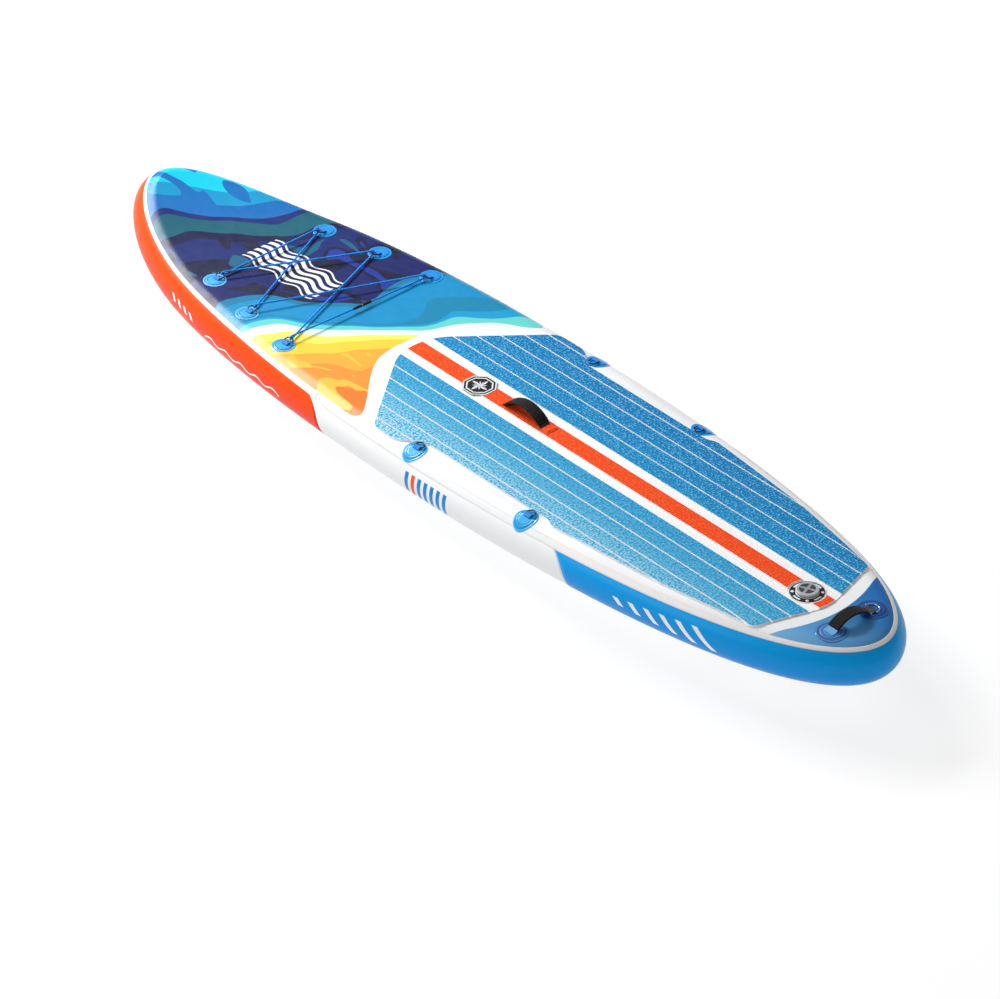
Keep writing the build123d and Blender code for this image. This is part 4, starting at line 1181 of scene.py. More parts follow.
@dataclass
class DeckPad:
    """The foam deck: white base, twelve grooved blue lanes, an orange stripe and a badge."""

    round_over: float = 0.0014
    badge_centre: Pair = (0.080, 0.0)
    badge_across: float = 0.104
    badge_low: float = 0.2754
    badge_top: float = 0.2764

    def foam(self) -> None:
        """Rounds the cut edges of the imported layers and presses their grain.

        The dyed layers are a thin skin on white foam, so their upright cut faces, whose
        normals are level, are white.
        """
        # each foam: tones starboard to port, painted lighter to port as light; painted crown highlight;
        # painted crease shade; highlight strength
        blue = EmbossedFoam("foam_blue", ("0072b0", "128cc4", "54b4d8"), "78caee", "005e9e", 0.85).build()
        white = EmbossedFoam("foam_white", ("f4f5f6", "f6f7f8", "f8f8f8"), "fcfcfc", "eef0f2").build()
        orange = EmbossedFoam("foam_orange", ("f0440a", "f2480c", "f6551a"), "ff8450", "e23c06", 0.6).build()
        layers = (
            ("pad_base", "pad_base_foam", white, "pad_white_eva"),
            ("pad_strips_port", "port_lanes", blue, "pad_blue_eva"),
            ("pad_strips_starboard", "starboard_lanes", blue, "pad_blue_eva"),
            ("pad_stripe", "middle_stripe", orange, "pad_orange_eva"),
        )
        for node, name, material, slot in layers:
            piece = finish_piece(softened(node, name, self.round_over), material, node)
            upright = np.abs(read_all(piece.data.polygons, "normal", 3)[:, 2]) < 0.2
            piece.data.materials.append(white)
            piece.modifiers["edge"].material = 1
            piece.data.polygons.foreach_set("material_index", upright.astype(np.int32))

    def badge(self) -> Object:
        """A moulded octagon with stepped rims.

        The outline's radius is the half width over the cosine of the turn within its
        eighth. Rims and a shallow dish are steps of height over the share of the radius.

        Returns:
            The closed badge, with UV as a share across its face.
        """
        run = np.array([
            (0.0, 0.70), (0.30, 0.70), (0.66, 0.62), (0.70, 0.62), (0.72, 0.92), (0.78, 0.92), (0.80, 0.66),
            (0.90, 0.66), (0.92, 1.0), (0.975, 1.0), (1.0, 0.75), (1.0, 0.0), (0.5, 0.0), (0.0, 0.0),
        ])
        turn = full_turn(96)
        eighth = (turn + np.pi / 8) % (np.pi / 4) - np.pi / 8
        flat = self.badge_across / 2 / np.cos(eighth)
        x = self.badge_centre[0] + run[:, :1] * flat * np.cos(turn)
        y = self.badge_centre[1] + run[:, :1] * flat * np.sin(turn)
        z = self.badge_low + run[:, 1:] * (self.badge_top - self.badge_low) + 0 * x
        points = np.stack([x, y, z], -1)
        return shell("badge", points, 30, (points[..., :2] - self.badge_centre) / self.badge_across)

    def badge_finish(self) -> Material:
        """Black and white moulding with a plain eight point compass star.

        The star's edge is a radius that swings between two values with the turn, as a
        triangle wave with four long and four short points.

        Returns:
            The material.
        """
        g = Graph("badge_moulding")
        u, v = g.uv()
        radius = g.math("SQRT", u * u + v * v)
        turn = g.math("ARCTAN2", v, u) / (math.pi / 4)
        saw = abs(g.math("FRACT", turn + 0.5) - 0.5)
        long_point = g.rise(g.math("COSINE", turn * math.pi), -0.05, 0.05)
        reach = long_point * 0.10 + 0.22
        edge = reach - saw * 0.36
        star = g.rise(edge - radius, -0.004, 0.004)
        half = g.rise(g.math("SINE", turn * (2 * math.pi)), -0.1, 0.1)
        field = g.mix(star, "202428", g.mix(half, "f4f5f6", "a9afb5"))
        across = g.math("MAXIMUM", abs(u), abs(v))
        skew = (abs(u) + abs(v)) * 0.7071
        ring = g.math("MAXIMUM", across, skew)
        rims = g.ramp(ring * 2.0, (
            (0.0, "000000"), (0.705, "ffffff"), (0.79, "000000"), (0.91, "ffffff"), (0.985, "000000"),
        ), stepped=True)
        g.coat(
            Base_Color=g.mix(rims, field, "eceff1"),
            Roughness=0.38,
            Normal=g.relief(g.noise(900.0), 0.00005, 0.5),
            Specular_IOR_Level=0.2,
        )
        return g.material

    def build(self) -> None:
        """Makes the foam layers and the badge."""
        self.foam()
        finish_piece(self.badge(), self.badge_finish(), "pad_badge")


# ---- fittings' finishes
@dataclass(frozen=True)
class WovenTape:
    """Webbing: ribs along the tape crossed by a fine weft, on its own coordinates."""

    name: str
    code: str
    dark: str
    rib: float = 0.0021
    weft: float = 0.0013
    depth: float = 0.0003

    def build(self) -> Material:
        """Ribs are the absolute sine across the tape, the weft a sine along it."""
        g = Graph(self.name)
        u, v = g.uv()
        rib = abs(g.math("SINE", v * (math.pi / self.rib)))
        weft = g.waves(u, self.weft) * 0.5 + 0.5
        height = weft * 0.35 + rib
        fluff = g.noise(1600.0, 2.0)
        # painted shade: the tone darkens where the weave's bump is low, in its hollows; the fluff is random
        tone = g.mix(g.rise(height, 0.1, 0.9), self.dark, self.code)
        g.coat(
            Base_Color=g.mix(g.rise(fluff, 0.3, 0.8, 0.0, 0.3), tone, self.dark),
            Roughness=0.55,
            Normal=g.relief(height, self.depth, 0.8),
            Sheen_Weight=0.1,
            Specular_IOR_Level=0.3,
        )
        return g.material


@dataclass(frozen=True)
class PaddedCloth:
    """Knitted cloth over foam: a fine knit with a nap and slight lint."""

    name: str
    code: str
    nap: str
    loop: float = 0.0012

    def build(self) -> Material:
        """The knit is a product of two diagonal sines over the piece's own coordinates."""
        g = Graph(self.name)
        u, v = g.uv()
        knit = g.waves(u + v, self.loop) * g.waves(u - v, self.loop) * 0.5 + 0.5
        puff = g.noise(70.0, 2.0)
        height = puff * 1.2 + knit
        lint = g.noise(420.0, 3.0)
        g.coat(
            Base_Color=g.mix(g.rise(lint, 0.45, 0.85), self.code, self.nap),
            Roughness=0.78,
            Normal=g.relief(height, 0.00025, 0.7),
            Sheen_Weight=0.06,
            Sheen_Roughness=0.5,
            Specular_IOR_Level=0.2,
        )
        return g.material


@dataclass(frozen=True)
class Moulding:
    """Moulded plastic: a soft gloss over a fine spark eroded texture."""

    name: str
    code: str
    worn: str
    gloss: float = 0.4
    grain: float = 1400.0

    def build(self) -> Material:
        """Fine noise for the texture, broad noise for handling marks."""
        g = Graph(self.name)
        marks = g.noise(24.0, 4.0, 0.5)
        g.coat(
            Base_Color=g.mix(g.rise(marks, 0.45, 0.85), self.code, self.worn),
            Roughness=g.rise(marks, 0.2, 0.8, self.gloss - 0.06, self.gloss + 0.12),
            Normal=g.relief(g.noise(self.grain, 2.0), 0.00006, 0.6),
            Specular_IOR_Level=0.5,
        )
        return g.material


@dataclass(frozen=True)
class PlatedWire:
    """Bright stainless wire with hair lines and faint fingerprints."""

    name: str = "stainless_wire"
    code: str = "c9ced3"
    shade: str = "aeb4ba"
    gloss: float = 0.14

    def build(self) -> Material:
        """Stretched noise gives hair lines, broad noise the cloudy gloss."""
        g = Graph(self.name)
        x, y, z = g.xyz()
        hair = g.noise(1.0, 2.0, at=g.join(x * 40.0, y * 900.0, z))
        cloud = g.noise(160.0, 3.0)
        g.coat(
            Base_Color=g.mix(g.rise(cloud, 0.3, 0.8), self.code, self.shade),
            Metallic=1.0,
            Roughness=g.rise(cloud, 0.2, 0.8, self.gloss, self.gloss + 0.14),
            Normal=g.relief(hair, 0.00002, 0.4),
        )
        return g.material


@dataclass(frozen=True)
class WeldedDisc:
    """The soft PVC of the patches, glossier where the welding die pressed it."""

    name: str
    code: str
    # the painted shade of the pressed ring and the outer edge
    rim: str
    gloss: float = 0.28
    # the tone painted in toward port, as light from that side
    port: str | None = None

    def build(self) -> Material:
        """A faint drift of tone under a clear gloss, painted paler to port as light falling from that side,
        with fine die marks.

        The disc's UV holds the share of its radius, by which the pressed ring and the
        outer edge are painted darker, as shade in the ring and at the edge.

        Returns:
            The material.
        """
        g = Graph(self.name)
        drift = g.noise(26.0, 2.0)
        die = g.noise(600.0, 2.0)
        tone = self.code
        # painted light: the disc turns paler toward port
        if self.port:
            _, y, _ = g.xyz()
            tone = g.mix(g.rise(y, -0.06, 0.12), tone, self.port)
        share, _ = g.uv()
        off = abs(share - 0.815)
        # painted shade: darker in the pressed ring and at the outer edge
        pressed = g.math("MAXIMUM", g.rise(off, 0.07, 0.035), g.rise(share, 0.955, 0.985))
        faint = drift * 0.24 + pressed * 0.62
        g.coat(
            Base_Color=g.mix(faint, tone, self.rim),
            Roughness=g.rise(die, 0.2, 0.8, self.gloss, self.gloss + 0.1),
            Normal=g.relief(die, 0.00005, 0.5),
            Coat_Weight=0.35,
            Coat_Roughness=0.1,
            Specular_IOR_Level=0.3,
        )
        return g.material


# ---- ring stations
@dataclass
class RingStations:
    """Welded discs, webbing tabs and D-rings along the deck."""

    nose: tuple[Pair, ...] = ((1.078, 0.222), (0.863, 0.267), (0.650, 0.298))
    flank: tuple[Pair, ...] = ((-0.048, 0.366), (-0.530, 0.353))
    patch_radius: float = 0.038
    cover_radius: float = 0.028
    patch: float = 0.0012
    glue: float = 0.0002
    bar_offset: float = 0.012
    bar_z: float = 0.27655
    bar_radius: float = 0.00205
    tape: float = 0.0013
    tab_width: float = 0.024
    tab_reach: float = 0.0105
    stitch: Pair = (0.0026, 0.0006)
    stitch_pitch: float = 0.0034

    def disc(self, name: str, centre: Pair, radius: float, low: float, dish: float) -> Object:
        """A welded disc that lies over the deck and its shoulder.

        In polar form about its middle: the height over the deck depends only on the share
        of the radius. It steps down at the rim, with a shallow pressed ring inside it.

        Args:
            name: the new piece.
            centre: x and y of its middle.
            radius: its radius on the deck.
            low: height of its underside over the deck.
            dish: depth of the pressed ring.

        Returns:
            The closed disc.
        """
        top = low + self.patch
        run = np.array([
            (0.0, top), (0.35, top), (0.66, top), (0.74, top), (0.79, top - dish), (0.84, top - dish),
            (0.885, top), (0.94, top), (0.972, top - 0.0002), (0.99, top - 0.0006), (1.0, low), (0.6, low),
            (0.0, low),
        ])
        turn = full_turn(72)
        reach = run[:, :1] * radius
        plan = np.stack([centre[0] + reach * np.cos(turn), centre[1] + reach * np.sin(turn)], -1)
        points, _ = HULL.lay(plan.reshape(-1, 2), np.repeat(run[:, 1], len(turn)))
        uv = np.stack([np.repeat(run[:, 0], len(turn)), np.tile(turn, len(run))], -1)
        return shell(name, points.reshape(*plan.shape[:2], 3), 45, uv)

    def discs(self, spots: list[Pair], layers: tuple[tuple, ...]) -> None:
        """Lays welded discs on each other at every spot, one piece to a layer.

        Args:
            spots: x and y of each middle.
            layers: from the deck up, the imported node, radius, dish and finish.
        """
        for level, (node, radius, dish, finish) in enumerate(layers):
            low = self.glue + level * (self.glue + self.patch)
            parts = [self.disc(f"{node}{k}", spot, radius, low, dish) for k, spot in enumerate(spots)]
            finish_piece(joined(f"{node}_welded", parts), finish.build(), node)

    def loop(self, name: str, x: float, bar_y: float, outboard: float, width: float, reach: float) -> Object:
        """Webbing folded round a ring's bar, its two layers sewn down outboard of it.

        The tape's middle line runs in along the disc, round the bar on a circle from
        straight below to just past the top, and back down over the first layer.

        Args:
            name: the new piece.
            x: the tab's middle along the board.
            bar_y: the bar's place across the board.
            outboard: 1 or -1 along Y, away from the ring.
            width: the tape's width.
            reach: how far the layers run outboard of the bar.

        Returns:
            The closed piece.
        """
        radius = self.bar_radius + self.tape / 2 + 0.00005
        out = np.linspace(reach, 0.001, 9)
        plan = np.stack([np.full(9, x), bar_y + outboard * out], 1)
        seat = 2 * (self.glue + self.patch) + self.glue + self.tape / 2
        low = HULL.lay(plan, seat)[0][:, 2].clip(None, self.bar_z - radius)
        bend = np.radians(np.linspace(270, 66, 19))
        over = np.linspace(0, 1, 9)[1:]
        first = np.array([radius * np.cos(bend[-1]), self.bar_z + radius * np.sin(bend[-1])])
        last = np.array([reach, low[0] + self.tape * 1.05])
        back = first + (last - first) * over[:, None]
        back[:, 1] = np.maximum(back[:, 1], np.interp(back[:, 0], out[::-1], low[::-1]) + self.tape * 1.04)
        e = np.concatenate([out, radius * np.cos(bend), back[:, 0]])
        z = np.concatenate([low, self.bar_z + radius * np.sin(bend), back[:, 1]])
        path = np.stack([np.full(len(e), x), bar_y + outboard * e, z], 1)
        return carry(name, path, np.array([1.0, 0, 0]), rounded_section(width, self.tape, 7.0, 44))

    def seam(self, name: str, x: float, y: float, width: float) -> Object:
        """A cross-wise row of stitches that holds a tab's two layers."""
        count = int(width / self.stitch_pitch)
        across = (np.arange(count) - (count - 1) / 2) * self.stitch_pitch
        plan = np.stack([x + across, np.full(count, y)], 1)
        seat = 3 * self.glue + 2 * self.patch + 2.06 * self.tape
        places, up = HULL.lay(plan, seat)
        return stitches(name, places, np.tile([1.0, 0, 0], (count, 1)), up, *self.stitch)

    def tabs(
        self, family: str, spots: list[Pair], material: Material, thread: Material
    ) -> None:
        """The folded tabs of one family of rings, and their stitching."""
        tabs, seams = [], []
        for k, (x, y) in enumerate(spots):
            side = math.copysign(1.0, y)
            bar_y = y - side * self.bar_offset
            tabs.append(self.loop(f"tab{k}", x, bar_y, side, self.tab_width, self.tab_reach))
            for step in (0.0055, 0.0085):
                seams.append(self.seam(f"seam{k}", x, bar_y + side * step, self.tab_width - 0.004))
        finish_piece(joined(f"{family}_webbing_tabs", tabs), material, f"{family}_ring_tabs")
        finish_piece(joined(f"{family}_tab_stitching", seams), thread)

    def build(self) -> None:
        """Makes every station and dresses the rings."""
        tape = WovenTape("tab_webbing", "148ae6", "0a60b4").build()
        thread = Moulding("tab_thread", "0f4f95", "2b78c4", 0.5).build()
        # patch and cover are each family's painted lighter port tones
        families = (("nose", self.nose, "7cd0f8", "4cbaf2"), ("side", self.flank, "22c2f6", "10b4f0"))
        for family, rows, patch, cover in families:
            spots = [(x, side.value * y) for x, y in rows for side in Side]
            # each WeldedDisc's second colour is the painted shade of its pressed ring and edge
            self.discs(spots, (
                (f"{family}_patches", self.patch_radius, 0.00045,
                 WeldedDisc(f"{family}_patch", "18a8f2", "0a74c6", port=patch)),
                (f"{family}_patch_covers", self.cover_radius, 0.00035,
                 WeldedDisc(f"{family}_cover", "109cec", "086abc", port=cover)),
            ))
            self.tabs(family, spots, tape, thread)
        dark = PlatedWire("dark_chrome_wire", "4b4f55", "34373c", 0.1).build()
        for node in ("nose_rings", "side_ring_fp", "side_ring_fs", "side_ring_ap", "side_ring_as"):
            dress_node(node, dark)
        dress_node("tail_ring", PlatedWire().build())


# ---- laced cord
@dataclass(frozen=True)
class BraidedSleeve:
    """The cord's braided cover: two families of strands that cross in a diamond."""

    name: str
    code: str
    dark: str
    strand: float = 0.0026

    def build(self) -> Material:
        """Strands follow the sum and difference of the length and the way round."""
        g = Graph(self.name)
        u, v = g.uv()
        braid = g.math("MAXIMUM", g.waves(u + v, self.strand), g.waves(u - v, self.strand)) * 0.5 + 0.5
        # painted shade: darker between the strands, where the braid's bump is low
        g.coat(
            Base_Color=g.mix(g.rise(braid, 0.2, 0.8), self.dark, self.code),
            Roughness=0.45,
            Normal=g.relief(braid, 0.0004, 0.8),
            Sheen_Weight=0.04,
            Specular_IOR_Level=0.3,
        )
        return g.material


@dataclass
class LacedCord:
    """The stretch cord laced through the six nose rings, with its joiner."""

    rings: RingStations
    ring_reach: float = 0.0225
    ring_tilt: float = math.radians(18)
    wrap: float = 0.0053
    tip_out: float = 0.0056
    tip_up: float = 0.0070
    lead: float = 0.036
    radius: float = 0.0030
    spokes: int = 14
    real_length: float = 3.0295
    joiner_share: float = 0.53
    joiner_gap: float = 0.0022
    sleeve_length: float = 0.034
    sleeve_radius: float = 0.0046
    joiner_radius: float = 0.0037
    joiner_length: float = 0.004

    LACING = ((2, 1, 1), (1, -1, -1), (0, 1, 1), (0, -1, 1), (1, 1, -1), (2, -1, 1))

    @property
    def tip_z(self) -> float:
        """Height of the tilted rings' tips."""
        return self.rings.bar_z + self.ring_reach * math.sin(self.ring_tilt)

    def corner(self, station: int, side: int, above: int, outboard: float, up: float) -> Vector:
        """A corner of the route at a ring's tip."""
        x, y = self.rings.nose[station]
        tip = y - self.rings.bar_offset - self.ring_reach * math.cos(self.ring_tilt)
        return Vector((x, side * (tip + outboard), self.tip_z + above * up))

    def route(self) -> tuple[list[Vector], Vector, Vector]:
        """The cord's control points: two at each ring, and one on each long run near it.

        Returns:
            The points, the middle of the joiner, and the joined run's direction.
        """
        arrive = [self.corner(n, s, a, self.wrap, self.wrap) for n, s, a in self.LACING]
        leave = [self.corner(n, s, -a, self.wrap, self.wrap) for n, s, a in self.LACING]
        along = (leave[-1] - arrive[0]).normalized()
        middle = arrive[0].lerp(leave[-1], self.joiner_share)
        starts = [middle - along * self.joiner_gap, *leave[:-1]]
        ends = [*arrive[1:], middle + along * self.joiner_gap]
        points = [starts[0]]
        for (n, s, a), here, away, before, after in zip(self.LACING, arrive, leave, starts, ends):
            points.append(here + (before - here).normalized() * self.lead)
            points.append(self.corner(n, s, a, self.tip_out, self.tip_up))
            points.append(self.corner(n, s, -a, self.tip_out, self.tip_up))
            points.append(away + (after - away).normalized() * self.lead)
        return [*points, ends[-1]], middle, along

    def line(self, points: list[Vector]) -> Array:
        """Lays the route as one smooth NURBS spline and reads its points back."""
        curve = bpy.data.curves.new("lace_line", "CURVE")
        curve.dimensions = "3D"
        curve.resolution_u = 8
        spline = curve.splines.new("NURBS")
        spline.points.add(len(points) - 1)
        for place, point in zip(spline.points, points):
            place.co = (*point, 1.0)
        spline.order_u = 3
        spline.use_endpoint_u = True
        holder = place_data("lace_line", curve)
        bpy.context.view_layer.update()
        mesh = bpy.data.meshes.new_from_object(holder)
        read = read_all(mesh.vertices, "co", 3)
        bpy.data.objects.remove(holder)
        bpy.data.curves.remove(curve)
        bpy.data.meshes.remove(mesh)
        return read[np.concatenate([[True], np.linalg.norm(np.diff(read, axis=0), axis=1) > 1e-5])]

    def tube(self, name: str, path: Array) -> Object:
        """A round tube along a path, its frame carried on from point to point.

        Each frame's side direction is the one before it less what lies along the new
        tangent, so the tube doesn't twist.

        Args:
            name: the new piece.
            path: points of its middle line.

        Returns:
            The closed tube, with metres along and round it as UV.
        """
        along = unit(np.gradient(path, axis=0))
        side = np.empty_like(path)
        side[0] = np.cross(along[0], [0, 0, 1])
        for k in range(1, len(path)):
            side[k] = side[k - 1] - along[k] * (side[k - 1] @ along[k])
            side[k] /= np.linalg.norm(side[k])
        side = unit(side)
        up = np.cross(along, side)
        turn = np.linspace(0, 2 * np.pi, self.spokes + 1)
        ring = side[:, None] * np.cos(turn)[:, None] + up[:, None] * np.sin(turn)[:, None]
        return capped(name, path, path[:, None] + ring * self.radius, turn * self.radius, 60, wrap=False)

    def collar(self, name: str, start: Vector, along: Vector, profile: list[Pair]) -> Object:
        """Turns a profile of (distance along, radius) about the cord's line."""
        axis = np.array(along)
        return turned(name, np.array(start), axis, unit(np.cross(axis, [0, 0, 1.0])), profile, 40)

    def build(self) -> None:
        """Makes the braided cord, its two sleeves and the joiner between them."""
        points, middle, along = self.route()
        path = self.line(points)
        braid = BraidedSleeve("cord_braid", "18a0ff", "066ae0").build()
        cord = finish_piece(self.tube("laced_cord", path), braid, "bungee_cord")
        bore, wall, length = self.radius + 0.00015, self.sleeve_radius, self.sleeve_length
        shrunk = [
            (0.0, bore), (0.0, wall - 0.0005), (0.0006, wall), (0.006, wall), (0.0068, wall - 0.00035),
            (0.0078, wall), (length - 0.009, wall), (length - 0.0082, wall - 0.00035),
            (length - 0.0072, wall), (length - 0.0035, wall - 0.0001), (length - 0.0006, wall - 0.0007),
            (length, bore + 0.0003), (length, bore),
        ]
        starts = [(way, middle + along * (way * self.joiner_gap)) for way in (1, -1)]
        ends = [self.collar(f"sleeve{way}", start, along * way, shrunk) for way, start in starts]
        black = Moulding("sleeve_black", "15171a", "2c3035", 0.35).build()
        sleeves = finish_piece(joined("lace_sleeves", ends), black, "bungee_sleeves")
        half, rim = self.joiner_length / 2, self.joiner_radius
        plug = self.collar("lace_joiner", middle, along, [
            (-half, 0.0), (-half, rim - 0.0006), (-half + 0.0006, rim), (-0.0004, rim), (0.0, rim - 0.0004),
            (0.0004, rim), (half - 0.0006, rim), (half, rim - 0.0006), (half, 0.0),
        ])
        finish_piece(plug, PlatedWire("joiner_metal", "d9dde0", gloss=0.2).build(), "bungee_joiner")
        2 * self.radius


# ---- carry handles
@dataclass
class Handle:
    """A padded grip on a strap that stands up in an arc."""

    name: str
    origin: Pair
    ahead: Pair
    low: float
    high: float
    foot_z: float
    rise: float
    tape: WovenTape
    strap_width: float = 0.038
    strap: float = 0.0024
    sleeve: float = 0.0070
    overhang: float = 0.0020
    clearance: float = 0.0002
    ease: float = 0.0016
    stitch_pitch: float = 0.0044
    seam_inset: float = 0.0042

    @property
    def middle(self) -> float:
        """Middle of the span along the handle's own direction."""
        return (self.low + self.high) / 2

    @property
    def radius(self) -> float:
        """Radius of the arc through both feet and the top."""
        half = (self.high - self.low) / 2
        return (half**2 + self.rise**2) / (2 * self.rise)

    def place(self, s: Array, z: Array) -> Array:
        """Points in the handle's upright plane, from distance along it and height."""
        plan = np.array(self.origin) + np.asarray(s)[..., None] * np.array(self.ahead)
        return np.concatenate([plan, np.asarray(z)[..., None]], -1)

    def across(self) -> Array:
        """The level direction square to the handle."""
        return np.array([-self.ahead[1], self.ahead[0], 0.0])

    def strap_path(self, tails: Pair) -> Array:
        """The strap's middle line: the arc, eased into the flat tails.

        The height is a smooth greater-of: half the sum of the arc's and the foot's heights
        plus half the root of their difference squared with a small ease.

        Args:
            tails: how far the strap runs on beyond the low and the high foot.

        Returns:
            The points.
        """
        s = np.linspace(self.low - tails[0], self.high + tails[1], 90)
        drop = np.minimum((s - self.middle) ** 2, (self.radius * 0.999) ** 2)
        arc = self.foot_z + self.rise - self.radius + np.sqrt(self.radius**2 - drop)
        gap = arc - self.foot_z
        z = self.foot_z + (gap + np.sqrt(gap**2 + self.ease**2)) / 2 - self.ease / 4
        return self.place(s, np.maximum(z, self.foot_z))

    def strap_piece(self, name: str, tails: Pair) -> Object:
        """The strap as woven tape."""
        section = rounded_section(self.strap_width, self.strap, 7.0, 48)
        return carry(name, self.strap_path(tails), self.across(), section)

    def arc_points(self, count: int, trim: float, lift: float) -> tuple[Array, Array, Array]:
        """Points along the arc at a height over it, with directions along and out of it."""
        half = math.asin((self.high - self.low) / 2 / self.radius) - math.radians(trim)
        turn = np.linspace(-half, half, count)
        s, z = np.sin(turn), np.cos(turn)
        base = self.foot_z + self.rise - self.radius
        points = self.place(self.middle + (self.radius + lift) * s, base + (self.radius + lift) * z)
        still = self.place(0 * s, 0 * z)
        return points, self.place(z, -s) - still, self.place(s, z) - still

    def grip(self, name: str, trim: float) -> Object:
        """The padded sleeve: two crowned faces round a slot for the strap.

        Its outer section is a superellipse a little crowned in the middle, its inner one the
        slot; both are carried along the arc and joined at the ends. The outer one swells
        slightly between its sewn ends.

        Args:
            name: the new piece.
            trim: how many degrees short of the feet it stops.

        Returns:
            The closed sleeve.
        """
        count, spokes = 64, 56
        path, _, up = self.arc_points(count, trim, 0.0)
        wide = self.strap_width + 2 * self.overhang
        outer = rounded_section(wide, self.sleeve, 4.2, spokes)
        inner = rounded_section(
            self.strap_width + 2 * self.clearance, self.strap + 2 * self.clearance, 9.0, spokes
        )
        way = np.linspace(-1, 1, count)[:, None]
        puff = 1 - 0.20 * np.abs(way) ** 7
        crown = 1 + 0.07 * (1 - (2 * outer[None, :, :1] / wide) ** 2)[..., 0] * (1 - way**4)
        side = np.broadcast_to(self.across(), path.shape)

        def ring(section: Array, tall: Array) -> Array:
            return (
                path[:, None] + side[:, None] * section[None, :, :1]
                + up[:, None] * (section[None, :, 1:] * tall[..., None])
            )

        skin = ring(outer, puff * crown)
        bore = ring(inner, np.ones((count, spokes)))[::-1]
        points = np.concatenate([skin, bore, skin[:1]])
        metres = np.concatenate([run_lengths(path), run_lengths(path)[::-1], [0.0]])
        around = run_lengths(np.concatenate([outer, outer[:1]]))[:-1]
        return shell(name, points, 50, np.stack(np.meshgrid(metres, around, indexing="ij"), -1))

    def stitching(self, name: str, trim: float) -> Object:
        """Two rows of stitches near the sleeve's edges and a row across each end."""
        wide = self.strap_width / 2 + self.overhang
        lift = self.sleeve / 2 * 0.985
        half = math.asin((self.high - self.low) / 2 / self.radius)
        count = int(2 * self.radius * half / self.stitch_pitch)
        points, along, up = self.arc_points(count, trim + 2.5, lift)
        rows = [(points + self.across() * (way * (wide - self.seam_inset)), along, up) for way in (-1, 1)]
        for end in (0, -1):
            steps = (np.arange(9) - 4) * 0.0040
            line = points[end] + steps[:, None] * self.across()
            rows.append((line, np.tile(self.across(), (9, 1)), np.tile(up[end], (9, 1))))
        places, runs, outs = (np.concatenate([row[k] for row in rows]) for k in range(3))
        return stitches(name, places, runs, outs)

    def build(self, tails: Pair, trim: float) -> None:
        """Makes and dresses the strap, the grip and its stitching.

        Args:
            tails: the strap's flat tails beyond the low and the high foot.
            trim: how many degrees short of the feet the grip stops.
        """
        strap = self.strap_piece(f"{self.name}_webbing", tails)
        finish_piece(strap, self.tape.build(), f"{self.name}_strap")
        cloth = PaddedCloth(f"{self.name}_cloth", "060607", "141518").build()
        grip = self.grip(f"{self.name}_grip", trim)
        finish_piece(grip, cloth, f"{self.name}_sleeve")
        thread = Moulding(f"{self.name}_thread", "3a2a22", "5a4030", 0.6).build()
        finish_piece(self.stitching(f"{self.name}_stitching", trim), thread)


